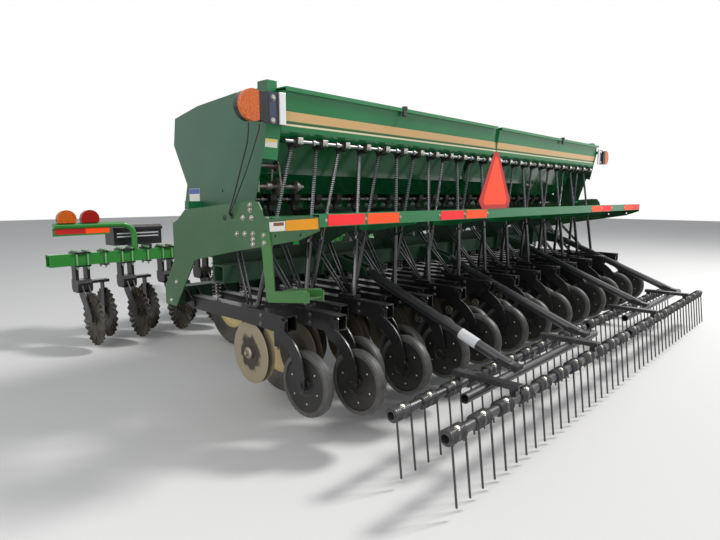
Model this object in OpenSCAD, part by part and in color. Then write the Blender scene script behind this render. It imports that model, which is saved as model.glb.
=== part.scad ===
// No-till seed drill, 24 rows in two ranks, with coulter bar, swivelling tongue and coil-tine harrow.
// Units are millimetres, +Z is up, +Y is forward, +X is to the machine's right.
// Inside the modules Y = 0 is the rear press-wheel axle; place() moves it to the frame's origin.

/* [Rows] */
// number of seed rows, an even number
n_rows = 24; // [20:4:24]
// spacing of the rows
row_pitch = 190.5; // [185:0.5:200]
// how far the front rank of openers stands ahead of the rear rank
rank_step = 171; // [150:1:190]

/* [Seed boxes] */
// height of the seed box lids above the ground
lid_z = 1800; // [1780:5:1850]
// how far the box ends stand inside the outer rows
box_inset = 47; // [40:1:80]
// sheet thickness of the boxes
box_wall = 6; // [4:1:10]

/* [Frame] */
// how far the lower end plates stand outside the outer rows
plate_out = 113; // [100:1:140]
// side of the square frame tubes
tube = 100; // [90:2:110]
// thickness of the frame plates
plate_t = 8; // [6:1:12]

/* [Openers] */
// diameter of the double-disc blades
disc_d = 343; // [320:1:350]
// toe-in of each blade in degrees
disc_toe = 3.5; // [2:0.1:4]
// diameter of the press wheels
press_d = 340; // [320:1:350]
// width of the press wheels
press_w = 54; // [45:1:60]
// height of the press-wheel axles
press_z = 346; // [340:1:360]

/* [Coulters] */
// diameter of the wavy coulter blades
coulter_d = 440; // [420:1:450]
// how far the coulter bar stands out past the outer rows
bar_out = 249; // [220:1:280]
// number of flutes in a blade's rim
flutes = 24; // [16:1:28]
// depth of the flutes to each side
flute_h = 9; // [5:0.5:11]

/* [Harrow] */
// spacing of the double coil tines
tine_pitch = 203; // [190:1:220]
// wire of the tines
tine_wire = 10; // [8:0.5:12]
// height of the tine tips
tip_z = 45; // [30:1:60]
// how far the tips lean back
tine_lean = 24; // [10:1:30]

/* [Running gear] */
// diameter of the drill's gauge tyres
gauge_d = 680; // [660:2:700]
// width of the gauge tyres
gauge_w = 86; // [80:1:90]
// diameter of the hitch frame's tyres
cart_d = 720; // [700:2:740]
// width of the hitch frame's tyres
cart_w = 230; // [200:2:240]

/* [Hitch] */
// distance from the swivel pin to the hitch pin
tongue_len = 2213; // [2100:1:2300]
// diameter of the hitch pin bore
hitch_bore = 33; // [26:0.5:40]

/* [Hidden] */
$fn = 48;
green = [0.12, 0.42, 0.20];
dark_green = [0.04, 0.22, 0.11];
black = [0.06, 0.06, 0.07];
steel = [0.62, 0.63, 0.65];
rubber = [0.10, 0.10, 0.10];
rust = [0.45, 0.33, 0.22];
amber = [0.95, 0.50, 0.08];
half_rows = (n_rows - 1) / 2;
outer = half_rows * row_pitch;
box_half = outer - box_inset;
plate_half = outer + plate_out;
bar_half = outer + bar_out;
box_floor = 1290;
small_floor = lid_z - 225;
press_y = 0;
disc_dy = 455;
disc_z = press_z + 73;
arm_w = 64;
arm_h = 80;
arm_z = 632;
toolbar_y = 1300;
toolbar_z = 670;
pivot_y = 1215;
rear_tube_y = 840;
rear_tube_z = 840;
front_tube_y = 1150;
front_tube_z = 1050;
bar_y = 3050;
bar_z = 750;
coulter_y = 2820;
coulter_step = 230;
coulter_z = 265;
gauge_x = 9 * row_pitch;
gauge_y = 940;
cart_x = 1220;
cart_y = 2130;
hitch_y = bar_y + tongue_len;
hitch_z = 460;
harrow_rear_y = -653;
harrow_front_y = -350;
harrow_bar_z = 320;
harrow_bar_d = 48;
coil_d = 72;
mid_y = (hitch_y + 50 + harrow_rear_y - coil_d / 2 - tine_lean) / 2;
lift_y = 540;
lift_z = 790;
lid_axis = [1352, lid_z - 42];
small_lid_axis = [638, lid_z + 8];
feed_shaft = [410, small_floor - 20];
main_shaft = [930, box_floor - 34];
section_step = n_rows / 2 * row_pitch;
box_end = box_half + 56;

function row_x(i) = (i - half_rows) * row_pitch;
function is_front(i) = (i % 2) == 0;
function axle_y(i) = is_front(i) ? press_y + rank_step : press_y;
function box_up(f) = box_floor + f * (lid_z - box_floor);

module place() translate([0, -mid_y, 0]) children();

// a block given by its low corner and high corner
module block(a, b) translate(a) cube(b - a);

// a plate standing across X, drawn as a list of [y, z] points
module plate_x(x0, t, pts) translate([x0, 0, 0]) rotate([90, 0, 90]) linear_extrude(t) polygon(pts);

// a hollow rectangular tube along X
module tube_x(x0, x1, y, z, sy, sz, t) difference() {
  block([x0, y - sy / 2, z - sz / 2], [x1, y + sy / 2, z + sz / 2]);
  block([x0 - 1, y - sy / 2 + t, z - sz / 2 + t], [x1 + 1, y + sy / 2 - t, z + sz / 2 - t]);
}

// a hollow rectangular tube along Y
module tube_y(y0, y1, x, z, sx, sz, t) difference() {
  block([x - sx / 2, y0, z - sz / 2], [x + sx / 2, y1, z + sz / 2]);
  block([x - sx / 2 + t, y0 - 1, z - sz / 2 + t], [x + sx / 2 - t, y1 + 1, z + sz / 2 - t]);
}

// a round bar between two points
module rod(a, b, d) {
  v = b - a;
  len = norm(v);
  translate(a) rotate([0, acos(v[2] / len), atan2(v[1], v[0])]) cylinder(h = len, d = d);
}

// a pipe along X
module pipe_x(x0, x1, y, z, d, t) difference() {
  rod([x0, y, z], [x1, y, z], d);
  rod([x0 - 1, y, z], [x1 + 1, y, z], d - 2 * t);
}

// a round bar along X, centred on x
module disc_x(x, y, z, d, w) translate([x - w / 2, y, z]) rotate([0, 90, 0]) cylinder(h = w, d = d);

// Frame tubes
module main_frame() color(dark_green) place() {
  tube_x(-plate_half + plate_t, plate_half - plate_t, toolbar_y, toolbar_z, tube, tube, 8);
  tube_x(-rail_half, rail_half, rear_tube_y, rear_tube_z, tube, tube, 8);
  tube_x(-plate_half + plate_t, plate_half - plate_t, front_tube_y, front_tube_z, tube, tube, 8);
  // rail on the rear tube's front that the down-pressure spring rods pass through
  difference() {
    union() {
      block([-rail_half, rail_back, rear_tube_z - 30], [rail_half, rail_back + 8, rail_z + 12]);
      block([-rail_half, rail_back, rail_z], [rail_half, rail_y, rail_z + 12]);
    }
    for (i = [0 : n_rows - 1])
      translate([row_x(i), spring_y, rail_z - 10]) cylinder(h = 30, d = 22);
    for (s = [-1, 1])
      block([s * gauge_x - 35.5, gauge_y - 35.5, 890], [s * gauge_x + 35.5, gauge_y + 35.5, 1140]);
  }
  // sleeves of the gauge-wheel legs
  for (s = [-1, 1]) {
    difference() {
      block([s * gauge_x - 50, gauge_y - 50, 900], [s * gauge_x + 50, gauge_y + 50, 1130]);
      block([s * gauge_x - 35.5, gauge_y - 35.5, 890], [s * gauge_x + 35.5, gauge_y + 35.5, 1140]);
    }
    block([s * gauge_x - 50, gauge_y + 50, 1000], [s * gauge_x + 50, front_tube_y - tube / 2, 1100]);
  }
  // ears and pins that the harrow arms hang on
  for (x = harrow_arm_x) {
    for (s = [-1, 1])
      plate_x(x + s * 39 - 4, 8, [[rear_tube_y - tube / 2, rear_tube_z - 45], [rear_tube_y - tube / 2, rear_tube_z + 45],
        [lift_y + 110, lift_z + 62], [lift_y - 6, lift_z + 26], [lift_y - 28, lift_z + 8], [lift_y - 24, lift_z - 22],
        [lift_y + 20, lift_z - 24]]);
    disc_x(x, lift_y, lift_z, 30, 92);
  }
}
rail_half = plate_half - 50;
rail_back = rear_tube_y + tube / 2;
rail_y = rail_back + 140;
rail_z = 938;
harrow_arm_x = [for (d = [0, n_rows / 2]) for (k = [-7, -2]) (k + d) * row_pitch];
spring_y = rail_back + 75;

// Bulkheads between the rows carry the boxes, the toolbar and the rear tube
bulkhead_x = [-8, -4, 0, 4, 8];
bulkhead_pts = [[1362, 605], [1362, 760], [1215, box_floor], [1010, box_floor], [990, 1190], [640, 1190],
  [330, 1169], [330, 1110], [560, 1050], [750, 960], [765, 770], [930, 770], [960, 900], [1000, 990],
  [1110, 960], [1235, 740], [1235, 605]];
module bulkheads() color(dark_green) place()
  for (k = bulkhead_x)
    difference() {
      plate_x(k * row_pitch - 6, 12, bulkhead_pts);
      tube_hole(k * row_pitch, toolbar_y, toolbar_z);
      tube_hole(k * row_pitch, rear_tube_y, rear_tube_z);
      tube_hole(k * row_pitch, front_tube_y, front_tube_z);
      block([k * row_pitch - 7, rail_back, rear_tube_z - 30], [k * row_pitch + 7, rail_back + 8, rail_z + 12]);
      block([k * row_pitch - 7, rail_back, rail_z], [k * row_pitch + 7, rail_y, rail_z + 12]);
    }
module tube_hole(x, y, z)
  block([x - 7, y - tube / 2, z - tube / 2], [x + 7, y + tube / 2, z + tube / 2]);

// Lower end plates with the notch behind the panel, and the leg down to the toolbar
end_pts = [[1104, 1188], [1175, 1137], [1235, 1115], [1235, 899], [1362, 720], [1362, 610], [1240, 610],
  [1008, 905], [968, 925], [310, 940], [150, 940], [87, 1074], [-42, 1120], [-42, 1183], [84, 1184],
  [319, 1163], [360, 1177], [366, 1208], [394, 1246], [444, 1251], [1104, 1251]];
end_holes = [[617, 1172, 22], [684, 1160, 12], [1180, 1185, 14]];
module end_plates() color(green) place()
  for (s = [-1, 1])
    difference() {
      plate_x(s > 0 ? plate_half - plate_t : -plate_half, plate_t, end_pts);
      for (h = end_holes)
        disc_x(s * plate_half, h[0], h[1], h[2], 4 * plate_t);
    }

// End panels, a skin held off the box ends by spacers
panel_rear = [[427, lid_z - 46], [487, lid_z - 334]];
panel_pts = [panel_rear[0], [494, lid_z + 12], [701, lid_z + 15], [1084, lid_z - 12], [1345, lid_z - 59],
  [1371, box_up(0.5745)], [1232, box_up(0.102)], [1277, 1197], [566, 1225], panel_rear[1]];
module end_panels() color(dark_green) place()
  for (s = [-1, 1]) {
    difference() {
      plate_x(s > 0 ? box_end - 6 : -box_end, 6, panel_pts);
      disc_x(s * box_end, 853, 1304, 16, 20);
    }
    // rear flange folded in towards the box
    translate([0, panel_rear[1][0], panel_rear[1][1]])
      rotate([atan2(panel_rear[1][0] - panel_rear[0][0], panel_rear[0][1] - panel_rear[1][1]), 0, 0])
        linear_extrude(norm(panel_rear[0] - panel_rear[1]))
          polygon([[s * box_end, -4], [s * (box_half + 4), -58], [s * (box_half + 3), -54],
            [s * (box_end - 6), 2], [s * box_end, 2]]);
    // cap block on the rear corner
    side_block(s, box_half + 5, box_end + 9, 420, 500, lid_z - 14, lid_z + 42);
    for (p = [[700, box_up(0.41)], [1200, box_up(0.41)], [900, box_up(0.1)], [1150, box_up(0.14)]])
      block([s > 0 ? box_half : -box_end + 6, p[0] - 20, p[1] - 20],
        [s > 0 ? box_end - 6 : -box_half, p[0] + 20, p[1] + 20]);
    for (p = [620, 1080])
      block([s > 0 ? box_end : -plate_half + plate_t, p - 20, 1200],
        [s > 0 ? plate_half - plate_t : -box_end, p + 20, 1245]);
  }

// Main seed box, two open hoppers with a centre gap
box_out = [[640, lid_z], [1340, lid_z - 55], [1362, box_up(0.5745)], [1232, box_up(0.102)], [1120, box_floor],
  [860, box_floor], [700, box_up(0.2157)], [640, box_up(0.549)]];
box_in = [[640 + box_wall, lid_z + 20], [1340 - box_wall, lid_z + 20], [1361 - box_wall, box_up(0.576)],
  [1231 - box_wall, box_up(0.108)], [1117, box_floor + box_wall], [863, box_floor + box_wall],
  [700 + box_wall, box_up(0.2216)], [640 + box_wall, box_up(0.551)]];
module seed_box() color(green) place() {
  for (s = [-1, 1])
    difference() {
      plate_x(s > 0 ? 30 : -box_half, box_half - 30, box_out);
      plate_x(s > 0 ? 30 + box_wall : -box_half + box_wall, box_half - 30 - 2 * box_wall, box_in);
    }
  block([-30, 700, box_up(0.25)], [30, 1150, box_up(0.8)]);
  // apron below the floor, in front of the feed cups
  block([-box_half, 981, 1196], [box_half, 985, box_floor + 2]);
  for (s = [-1, 1]) {
    hinge_pins(s, lid_axis, 40);
    for (h = hinge_at)
      for (e = [-1, 1])
        block([s * box_half / 2 + h + e * 38 - 6, 1336, lid_z - 82],
          [s * box_half / 2 + h + e * 38 + 6, lid_axis[0] + 5, lid_z - 70]);
  }
}

// Small-seeds box on the rear wall
small_out = [[372, lid_z - 5], [400, small_floor + 25], [430, small_floor], [560, small_floor],
  [640, small_floor + 65], [640, lid_z]];
small_in = [[372 + box_wall, lid_z + 20], [400 + box_wall, small_floor + 28], [433, small_floor + box_wall],
  [556, small_floor + box_wall], [640 - box_wall, small_floor + 69], [640 - box_wall, lid_z + 20]];
module small_seed_box() color(green) place() {
  for (s = [-1, 1])
    difference() {
      plate_x(s > 0 ? 30 : -box_half, box_half - 30, small_out);
      plate_x(s > 0 ? 30 + box_wall : -box_half + box_wall, box_half - 30 - 2 * box_wall, small_in);
    }
  block([-30, 400, small_floor + 35], [30, 640, lid_z - 20]);
  for (s = [-1, 1])
    hinge_pins(s, small_lid_axis, 30);
}

// Hinges: barrels on the lid, pins on lugs of the box
hinge_at = [-900, 0, 900];
module barrels(s, axis) for (h = hinge_at)
  translate([s * box_half / 2 + h, axis[0], axis[1]]) rotate([0, 90, 0]) difference() {
    translate([0, 0, -30]) cylinder(h = 60, d = 16);
    translate([0, 0, -31]) cylinder(h = 62, d = 8.1);
  }
module hinge_pins(s, axis, foot) for (h = hinge_at) {
  x = s * box_half / 2 + h;
  disc_x(x, axis[0], axis[1], 8, 90);
  for (e = [-1, 1])
    plate_x(x + e * 38 - 6, 12, [[axis[0] - 5, axis[1] - foot], [axis[0] + 2, axis[1] - foot],
      [axis[0] + 2, axis[1] - 8], [axis[0] + 5, axis[1] - 5], [axis[0] + 5, axis[1] + 4],
      [axis[0] - 5, axis[1] + 4]]);
}

// Lids: all hinge at their front edges, slotted round the hinge lugs
module lug_slots(s, axis) for (h = hinge_at)
  for (e = [-1, 1])
    block([s * box_half / 2 + h + e * 38 - 11, axis[0] - 18, axis[1] - 30],
      [s * box_half / 2 + h + e * 38 + 11, axis[0] + 18, axis[1] + 30]);
module barrel_bores(s, axis) for (h = hinge_at)
  translate([s * box_half / 2 + h - 31, axis[0], axis[1]]) rotate([0, 90, 0]) cylinder(h = 62, d = 8.1);
module main_lid(s) difference() {
  union() {
    difference() {
      plate_x(s > 0 ? 34 : -box_half, box_half - 34, [[646, lid_z + 6], [1346, lid_z - 46],
        [1346, lid_z - 40], [646, lid_z + 12]]);
      lug_slots(s, lid_axis);
    }
    barrels(s, lid_axis);
    // stiffening ribs across the lid
    for (k = [0.25, 0.5, 0.75])
      plate_x(s * box_half * k + (s > 0 ? 0 : -30), 30, [[720, lid_z + 4], [1270, lid_z - 37], [1270, lid_z - 30],
        [720, lid_z + 11]]);
  }
  barrel_bores(s, lid_axis);
}
module small_lid(s) difference() {
  union() {
    difference() {
      plate_x(s > 0 ? 34 : -box_half, box_half - 34, [[352, lid_z - 10], [355, lid_z - 10], [361, lid_z + 5],
        [631, lid_z + 5], [631, lid_z + 11], [352, lid_z + 11]]);
      lug_slots(s, small_lid_axis);
    }
    barrels(s, small_lid_axis);
  }
  barrel_bores(s, small_lid_axis);
}
module lid_left() color(green) place() main_lid(-1);
module lid_right() color(green) place() main_lid(1);
module small_lid_left() color(green) place() small_lid(-1);
module small_lid_right() color(green) place() small_lid(1);

// Walkboard deck with its rear beam
module walkboard() color(green) place() {
  tube_x(-plate_half + plate_t, plate_half - plate_t, -17, 1166, 50, 58, 4);
  difference() {
    block([-plate_half + plate_t, 8, 1170], [plate_half - plate_t, 320, 1176]);
    for (k = [-22 : 2 : 22])
      translate([k * 95 , 164, 1165]) cylinder(h = 20, d = 40);
  }
  for (k = bulkhead_x)
    plate_x(k * row_pitch - 14, 8, [[8, 1170], [8, 1125], [300, 1075], [430, 1075], [430, 1160], [320, 1170]]);
}

// Step: strap from the lower plate with an L-shaped tread
tooth = 14;
tread_pts = concat([[20, 755], [20, 806]],
  [for (k = [0 : 19]) for (j = [0, 1]) [20 + tooth * (k + j / 2), j == 0 ? 810 : 820]], [[300, 810], [300, 755]]);
module step() color(green) place() {
  block([-plate_half - 6, 300, 755], [-plate_half, 370, 1100]);
  plate_x(-plate_half - 6, 6, tread_pts);
  block([-plate_half, 20, 778], [-plate_half + 90, 300, 784]);
  plate_x(-plate_half + 84, 6, tread_pts);
}

// Feed cups under the small box and under the main box
tube_pitch = row_pitch * 0.9255;
function cup_x(i) = (i - half_rows) * tube_pitch;
function main_x(i) = sign(row_x(i)) * min(abs(row_x(i)), box_half - 34);
module feed_cups() color(black) place()
  for (i = [0 : n_rows - 1]) {
    // small-seeds cup: fluted-roller housing with a funnel below
    difference() {
      union() {
        plate_x(cup_x(i) - 20, 40, [[386, small_floor], [478, small_floor], [478, small_floor - 22],
          [462, small_floor - 46], [440, small_floor - 50], [400, small_floor - 42], [386, small_floor - 24]]);
        disc_x(cup_x(i), feed_shaft[0], feed_shaft[1], 38, 46);
        translate([cup_x(i), 460, small_floor - 62]) cylinder(h = 30, d1 = 26, d2 = 40);
      }
      disc_x(cup_x(i), feed_shaft[0], feed_shaft[1], 20.1, 60);
    }
    // main-box cup: housing bolted to the floor, with a spout
    difference() {
      union() {
        plate_x(main_x(i) - 24, 48, [[892, box_floor], [978, box_floor], [978, box_floor - 30],
          [960, box_floor - 62], [935, box_floor - 78], [912, box_floor - 70], [892, box_floor - 40]]);
        disc_x(main_x(i), main_shaft[0], main_shaft[1], 52, 54);
        translate([main_x(i), 935, box_floor - 104]) cylinder(h = 40, d = 36);
      }
      disc_x(main_x(i), main_shaft[0], main_shaft[1], 22.1, 70);
    }
  }

// Feed shafts with their clamp collars
module collars(shaft, d, pitch) for (i = [1 - half_rows : half_rows - 1])
  disc_x((i - 0.38) * pitch, shaft[0], shaft[1], d, 16);
module small_feed_shaft() color(steel) place() {
  disc_x(0, feed_shaft[0], feed_shaft[1], 20, 2 * box_half - 60);
  collars(feed_shaft, 34, tube_pitch);
}
module main_feed_shaft() color(steel) place() {
  disc_x(0, main_shaft[0], main_shaft[1], 22, 2 * box_half - 60);
  collars(main_shaft, 38, row_pitch);
}

// Chain drive at the left end: stub and lower shaft on the end panel, two sprockets and the chain
drive_up = [560, lid_z - 365];
drive_low = [560, lid_z - 475];
drive_x = -box_end + 142;
panel_in = -box_end + 6.3;
chain_t = 8;
module sprocket(x, at, d, teeth) translate([x, at[0], at[1]]) rotate([0, 90, 0]) linear_extrude(6)
  polygon([for (k = [0 : 2 * teeth - 1])
    let (r = d / 2 - (k % 2) * 6, a = k * 180 / teeth) [r * cos(a), r * sin(a)]]);
module chain_drive() color(steel) place() {
  rod([panel_in, drive_up[0], drive_up[1]], [drive_x + 10, drive_up[0], drive_up[1]], 22);
  sprocket(drive_x, drive_up, 62, 11);
  rod([panel_in, drive_low[0], drive_low[1]], [drive_x + 190, drive_low[0], drive_low[1]], 24);
  disc_x(drive_x - 55, drive_low[0], drive_low[1], 46, 30);
  sprocket(drive_x, drive_low, 96, 17);
  disc_x(drive_x + 18, drive_low[0], drive_low[1], 44, 24);
  for (k = [0 : 2])
    disc_x(drive_x + 130 + k * 12, drive_low[0], drive_low[1], 74 - k * 10, 7);
  // bearing bracket on the panel
  block([panel_in, drive_low[0] - 22, drive_low[1] - 30],
    [panel_in + 12, drive_low[0] + 30, drive_up[1] + 24]);
  // two strands of chain
  for (e = [-1, 1])
    rod([drive_x + 3, drive_low[0] + e * 44, drive_low[1] + 6],
      [drive_x + 3, drive_up[0] + e * 27, drive_up[1] + 2], chain_t);
}

// Near-vertical tubes from the small-seeds cups to the openers
module seed_tubes() color(black) place()
  for (i = [0 : n_rows - 1]) {
    a = [cup_x(i), 460, small_floor - 50];
    b = [row_x(i), axle_y(i) + disc_dy - 60, 690];
    m = a + (b - a) * 0.58;
    rod(a, m, 22);
    rod(m, b, 32);
  }

// Seed hoses from the main box to the openers
module seed_hose(i, d)
  rod([main_x(i), 935, box_floor - 100], [row_x(i), axle_y(i) + disc_dy + 10, 690], d);
module seed_hoses() color(black) place()
  for (i = [0 : n_rows - 1])
    seed_hose(i, 34);

// Opener arms: open rectangular tubes with a pivot at the toolbar and a boot down to the discs
boot_t = 16;
module opener_arms() color(black) place()
  for (i = [0 : n_rows - 1]) {
    y0 = axle_y(i) + 115;
    x = row_x(i);
    tube_y(y0, pivot_y - 20, x, arm_z, arm_w, arm_h, 5);
    // pivot ears to the toolbar
    for (s = [-1, 1])
      plate_x(x + s * 38 - 4, 8, [[pivot_y - 66, arm_z - 14], [pivot_y - 40, arm_z - 32],
        [toolbar_y - tube / 2, arm_z - 10], [toolbar_y - tube / 2, arm_z + 80], [pivot_y - 20, arm_z + 34],
        [pivot_y - 60, arm_z + 16]]);
    disc_x(x, pivot_y - 30, arm_z, 24, 90);
    // boot between the blades, narrowing to the seed outlet
    plate_x(x - boot_t / 2, boot_t, [[axle_y(i) + disc_dy - 90, arm_z - arm_h / 2],
      [axle_y(i) + disc_dy - 80, disc_z], [axle_y(i) + disc_dy - 50, disc_z - 110],
      [axle_y(i) + disc_dy - 25, disc_z - 115], [axle_y(i) + disc_dy + 28, disc_z - 34],
      [axle_y(i) + disc_dy + 60, arm_z - arm_h / 2]]);
    // hose box on top
    block([x - 28, axle_y(i) + disc_dy - 84, arm_z + arm_h / 2], [x + 28, axle_y(i) + disc_dy + 44, 692]);
    // side plate that stiffens the rear end
    plate_x(x - arm_w / 2 - 6, 6, [[y0 + 6, arm_z - 80], [y0 + 6, arm_z + 40], [y0 + 150, arm_z + 46],
      [y0 + 330, arm_z + 46], [y0 + 360, arm_z + 10], [y0 + 360, arm_z - 40], [y0 + 100, arm_z - 48],
      [y0 + 70, arm_z - 80]]);
  }

// Double-disc blades with their hubs, toed in at the front
hub_in = boot_t / 2 + 0.3 + 15 * sin(disc_toe);
module opener_discs() color(rust) place()
  for (i = [0 : n_rows - 1])
    for (s = [-1, 1])
      translate([row_x(i) + s * 14, axle_y(i) + disc_dy, disc_z]) rotate([0, 0, s * disc_toe])
        rotate([0, s * 90, 0]) rotate_extrude()
          polygon([[0, hub_in - 14], [15, hub_in - 14], [15, -2], [disc_d / 2 - 9, -2], [disc_d / 2, -0.8],
            [disc_d / 2 - 9, 2], [34, 2], [30, 12], [14, 15], [12, 24], [0, 24]]);

// Down-pressure springs on their rods
spring_turns = 9;
module down_springs() color(steel) place()
  for (i = [0 : n_rows - 1])
    translate([row_x(i), spring_y, arm_z + arm_h / 2]) rotate_extrude()
      polygon(concat([[0, 0], [7, 0], [7, 16], [26, 16], [26, 24]],
        [for (k = [0 : spring_turns - 1]) for (j = [0, 1]) [j == 0 ? 19 : 27, 26 + 20 * (k + j / 2)]],
        [[19, 206], [26, 208], [26, 216], [7, 216], [7, 310], [0, 310]]));

// Press-wheel arms: curved plate with a forked tab on top, and the pin through the wheel
arc_y = 210;
arc_z = 34;
module press_arm_shape() {
  difference() {
    intersection() {
      circle(r = 242);
      polygon([[-242, 0], [0, 0], [-75, 240], [-242, 242]]);
    }
    circle(r = 172);
  }
  translate([-arc_y, -arc_z]) circle(d = 62);
  translate([-arc_y - 31, -arc_z]) square([66, arc_z + 1]);
  translate([-62, 198]) circle(d = 74);
  polygon([[-94, 225], [-97, 260], [-116, 280], [-109, 288], [-90, 268], [-68, 284], [-61, 277], [-80, 256],
    [-76, 225]]);
}
module press_arms() color(black) place()
  for (i = [0 : n_rows - 1]) {
    x = row_x(i);
    y = axle_y(i);
    translate([x - arm_w / 2 - 18, y + arc_y, press_z + arc_z]) rotate([90, 0, 90]) linear_extrude(8)
      press_arm_shape();
    // pivot spacer up to the opener's side plate
    disc_x(x - arm_w / 2 - 8.15, y + arc_y - 62, press_z + arc_z + 198, 46, 3.7);
    disc_x(x - 10, y, press_z, 20, 86);
    disc_x(x - 34.5, y, press_z, 30, 15);
    disc_x(x + 30, y, press_z, 34, 6);
    disc_x(x - 53, y, press_z, 32, 6);
  }

// One press wheel: crowned rubber rim on a dished steel face
press_half = [[10.05, press_w * 0.45], [25, press_w * 0.45], [29, 13], [54, 13], [62, 20], [136, 21],
  [140, press_w / 2], [press_d / 2 - 12, press_w / 2], [press_d / 2 - 3, press_w / 3], [press_d / 2, 0]];
module press_wheel(x, y) translate([x, y, press_z]) rotate([0, 90, 0])
  rotate_extrude()
    polygon(concat([for (p = press_half) [p[0], -p[1]]],
      [for (k = [len(press_half) - 2 : -1 : 0]) press_half[k]]));
module press_rank(front) color(rubber) place()
  for (i = [0 : n_rows - 1])
    if (is_front(i) == front)
      press_wheel(row_x(i), axle_y(i));
module front_press_wheels() press_rank(true);
module rear_press_wheels() press_rank(false);

// A tyre on a dished rim, bored for its axle
module road_wheel(d, w, rim, bore) rotate([0, 90, 0]) rotate_extrude()
  polygon([[bore, -w * 0.30], [45, -w * 0.30], [55, -w * 0.12], [rim * 0.36, -w * 0.12], [rim * 0.46, -w * 0.40],
    [rim * 0.52, -w * 0.46], [d * 0.40, -w * 0.50], [d * 0.46, -w * 0.47], [d * 0.49, -w * 0.36],
    [d * 0.5, -w * 0.1], [d * 0.5, w * 0.1], [d * 0.49, w * 0.36], [d * 0.46, w * 0.47], [d * 0.40, w * 0.50],
    [rim * 0.52, w * 0.46], [rim * 0.46, w * 0.40], [rim * 0.36, w * 0.12], [55, w * 0.12], [45, w * 0.30],
    [bore, w * 0.30]]);

// Gauge wheels on legs that slide in sleeves below the front tube
module gauge_leg(s) color(black) place() {
  x = s * gauge_x;
  for (k = [-1, 1])
    block([x + k * 53 - 4, gauge_y - 30, gauge_d / 2 - 40], [x + k * 53 + 4, gauge_y + 30, 790]);
  block([x - 57, gauge_y - 30, 750], [x + 57, gauge_y + 30, 790]);
  block([x - 35, gauge_y - 35, 790], [x + 35, gauge_y + 35, 1120]);
  disc_x(x, gauge_y, gauge_d / 2, 40, 114);
}
module gauge_leg_left() gauge_leg(-1);
module gauge_leg_right() gauge_leg(1);
module gauge_wheel(s) color(rubber) place()
  translate([s * gauge_x, gauge_y, gauge_d / 2]) road_wheel(gauge_d, gauge_w, 420, 20.05);
module gauge_wheel_left() gauge_wheel(-1);
module gauge_wheel_right() gauge_wheel(1);

// Hitch frame: arms from the toolbar to the coulter bar, axle legs, mast and top link
link_x = [row_x(n_rows / 2 - 6) + 112.5, row_x(n_rows / 2 + 4) + 112.5];
module hitch_frame() color(green) place() {
  for (s = [0, 1]) {
    x = link_x[s];
    d = s == 0 ? -1 : 1;
    tube_y(toolbar_y + tube / 2, bar_y - 50, x, bar_z - 20, 90, 120, 8);
    block([x - 75, toolbar_y + tube / 2, 630], [x + 75, toolbar_y + tube / 2 + 14, 810]);
    // axle leg with a gusset
    plate_x(x + d * 53 - 8, 16, [[cart_y - 55, cart_d / 2 - 50], [cart_y + 55, cart_d / 2 - 50],
      [cart_y + 70, 560], [cart_y + 170, 670], [cart_y + 170, 790], [cart_y - 170, 790], [cart_y - 170, 670],
      [cart_y - 70, 560]]);
    disc_x(x + d * 62, cart_y, cart_d / 2, 110, 24);
    rod([x + d * 45, cart_y, cart_d / 2], [d * (cart_x + 125), cart_y, cart_d / 2], 50);
  }
  // mast
  for (s = [-1, 1])
    plate_x(s * 200 - 8, 16, [[bar_y - 50, 800], [bar_y + 50, 800], [bar_y - 60, 1180], [bar_y - 180, 1180],
      [bar_y - 250, 900], [bar_y - 250, 700], [bar_y - 50, 700]]);
  block([-208, bar_y - 180, 1080], [208, bar_y - 60, 1120]);
  block([-208, bar_y - 250, 700], [208, bar_y - 230, 800]);
  rod([0, bar_y - 130, 1100], [0, 1300, 1090], 60);
  for (s = [-1, 1])
    block([s * 11 - 5, 1225, 1065], [s * 11 + 5, 1320, 1115]);
  // swivel plates for the tongue
  block([-208, bar_y - 50, 832], [208, bar_y + 110, 855]);
  block([-100, bar_y - 180, 1015], [100, bar_y + 110, 1040]);
  block([-208, bar_y - 180, 1015], [-100, bar_y - 100, 1040]);
  block([100, bar_y - 180, 1015], [208, bar_y - 100, 1040]);
  translate([0, bar_y, 832]) cylinder(h = 190, d = 60);
  translate([0, bar_y, 840]) cylinder(h = 19.9, d = 110);
  translate([0, bar_y, 980.1]) cylinder(h = 34.9, d = 110);
}

module hitch_wheel(s) color(rubber) place()
  translate([s * cart_x, cart_y, cart_d / 2]) road_wheel(cart_d, cart_w, 400, 25.05);
module hitch_wheel_left() hitch_wheel(-1);
module hitch_wheel_right() hitch_wheel(1);

// Coulter bar with open ends
module coulter_bar() color(green) place() tube_x(-bar_half, bar_half, bar_y, bar_z, 100, 100, 8);

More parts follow.
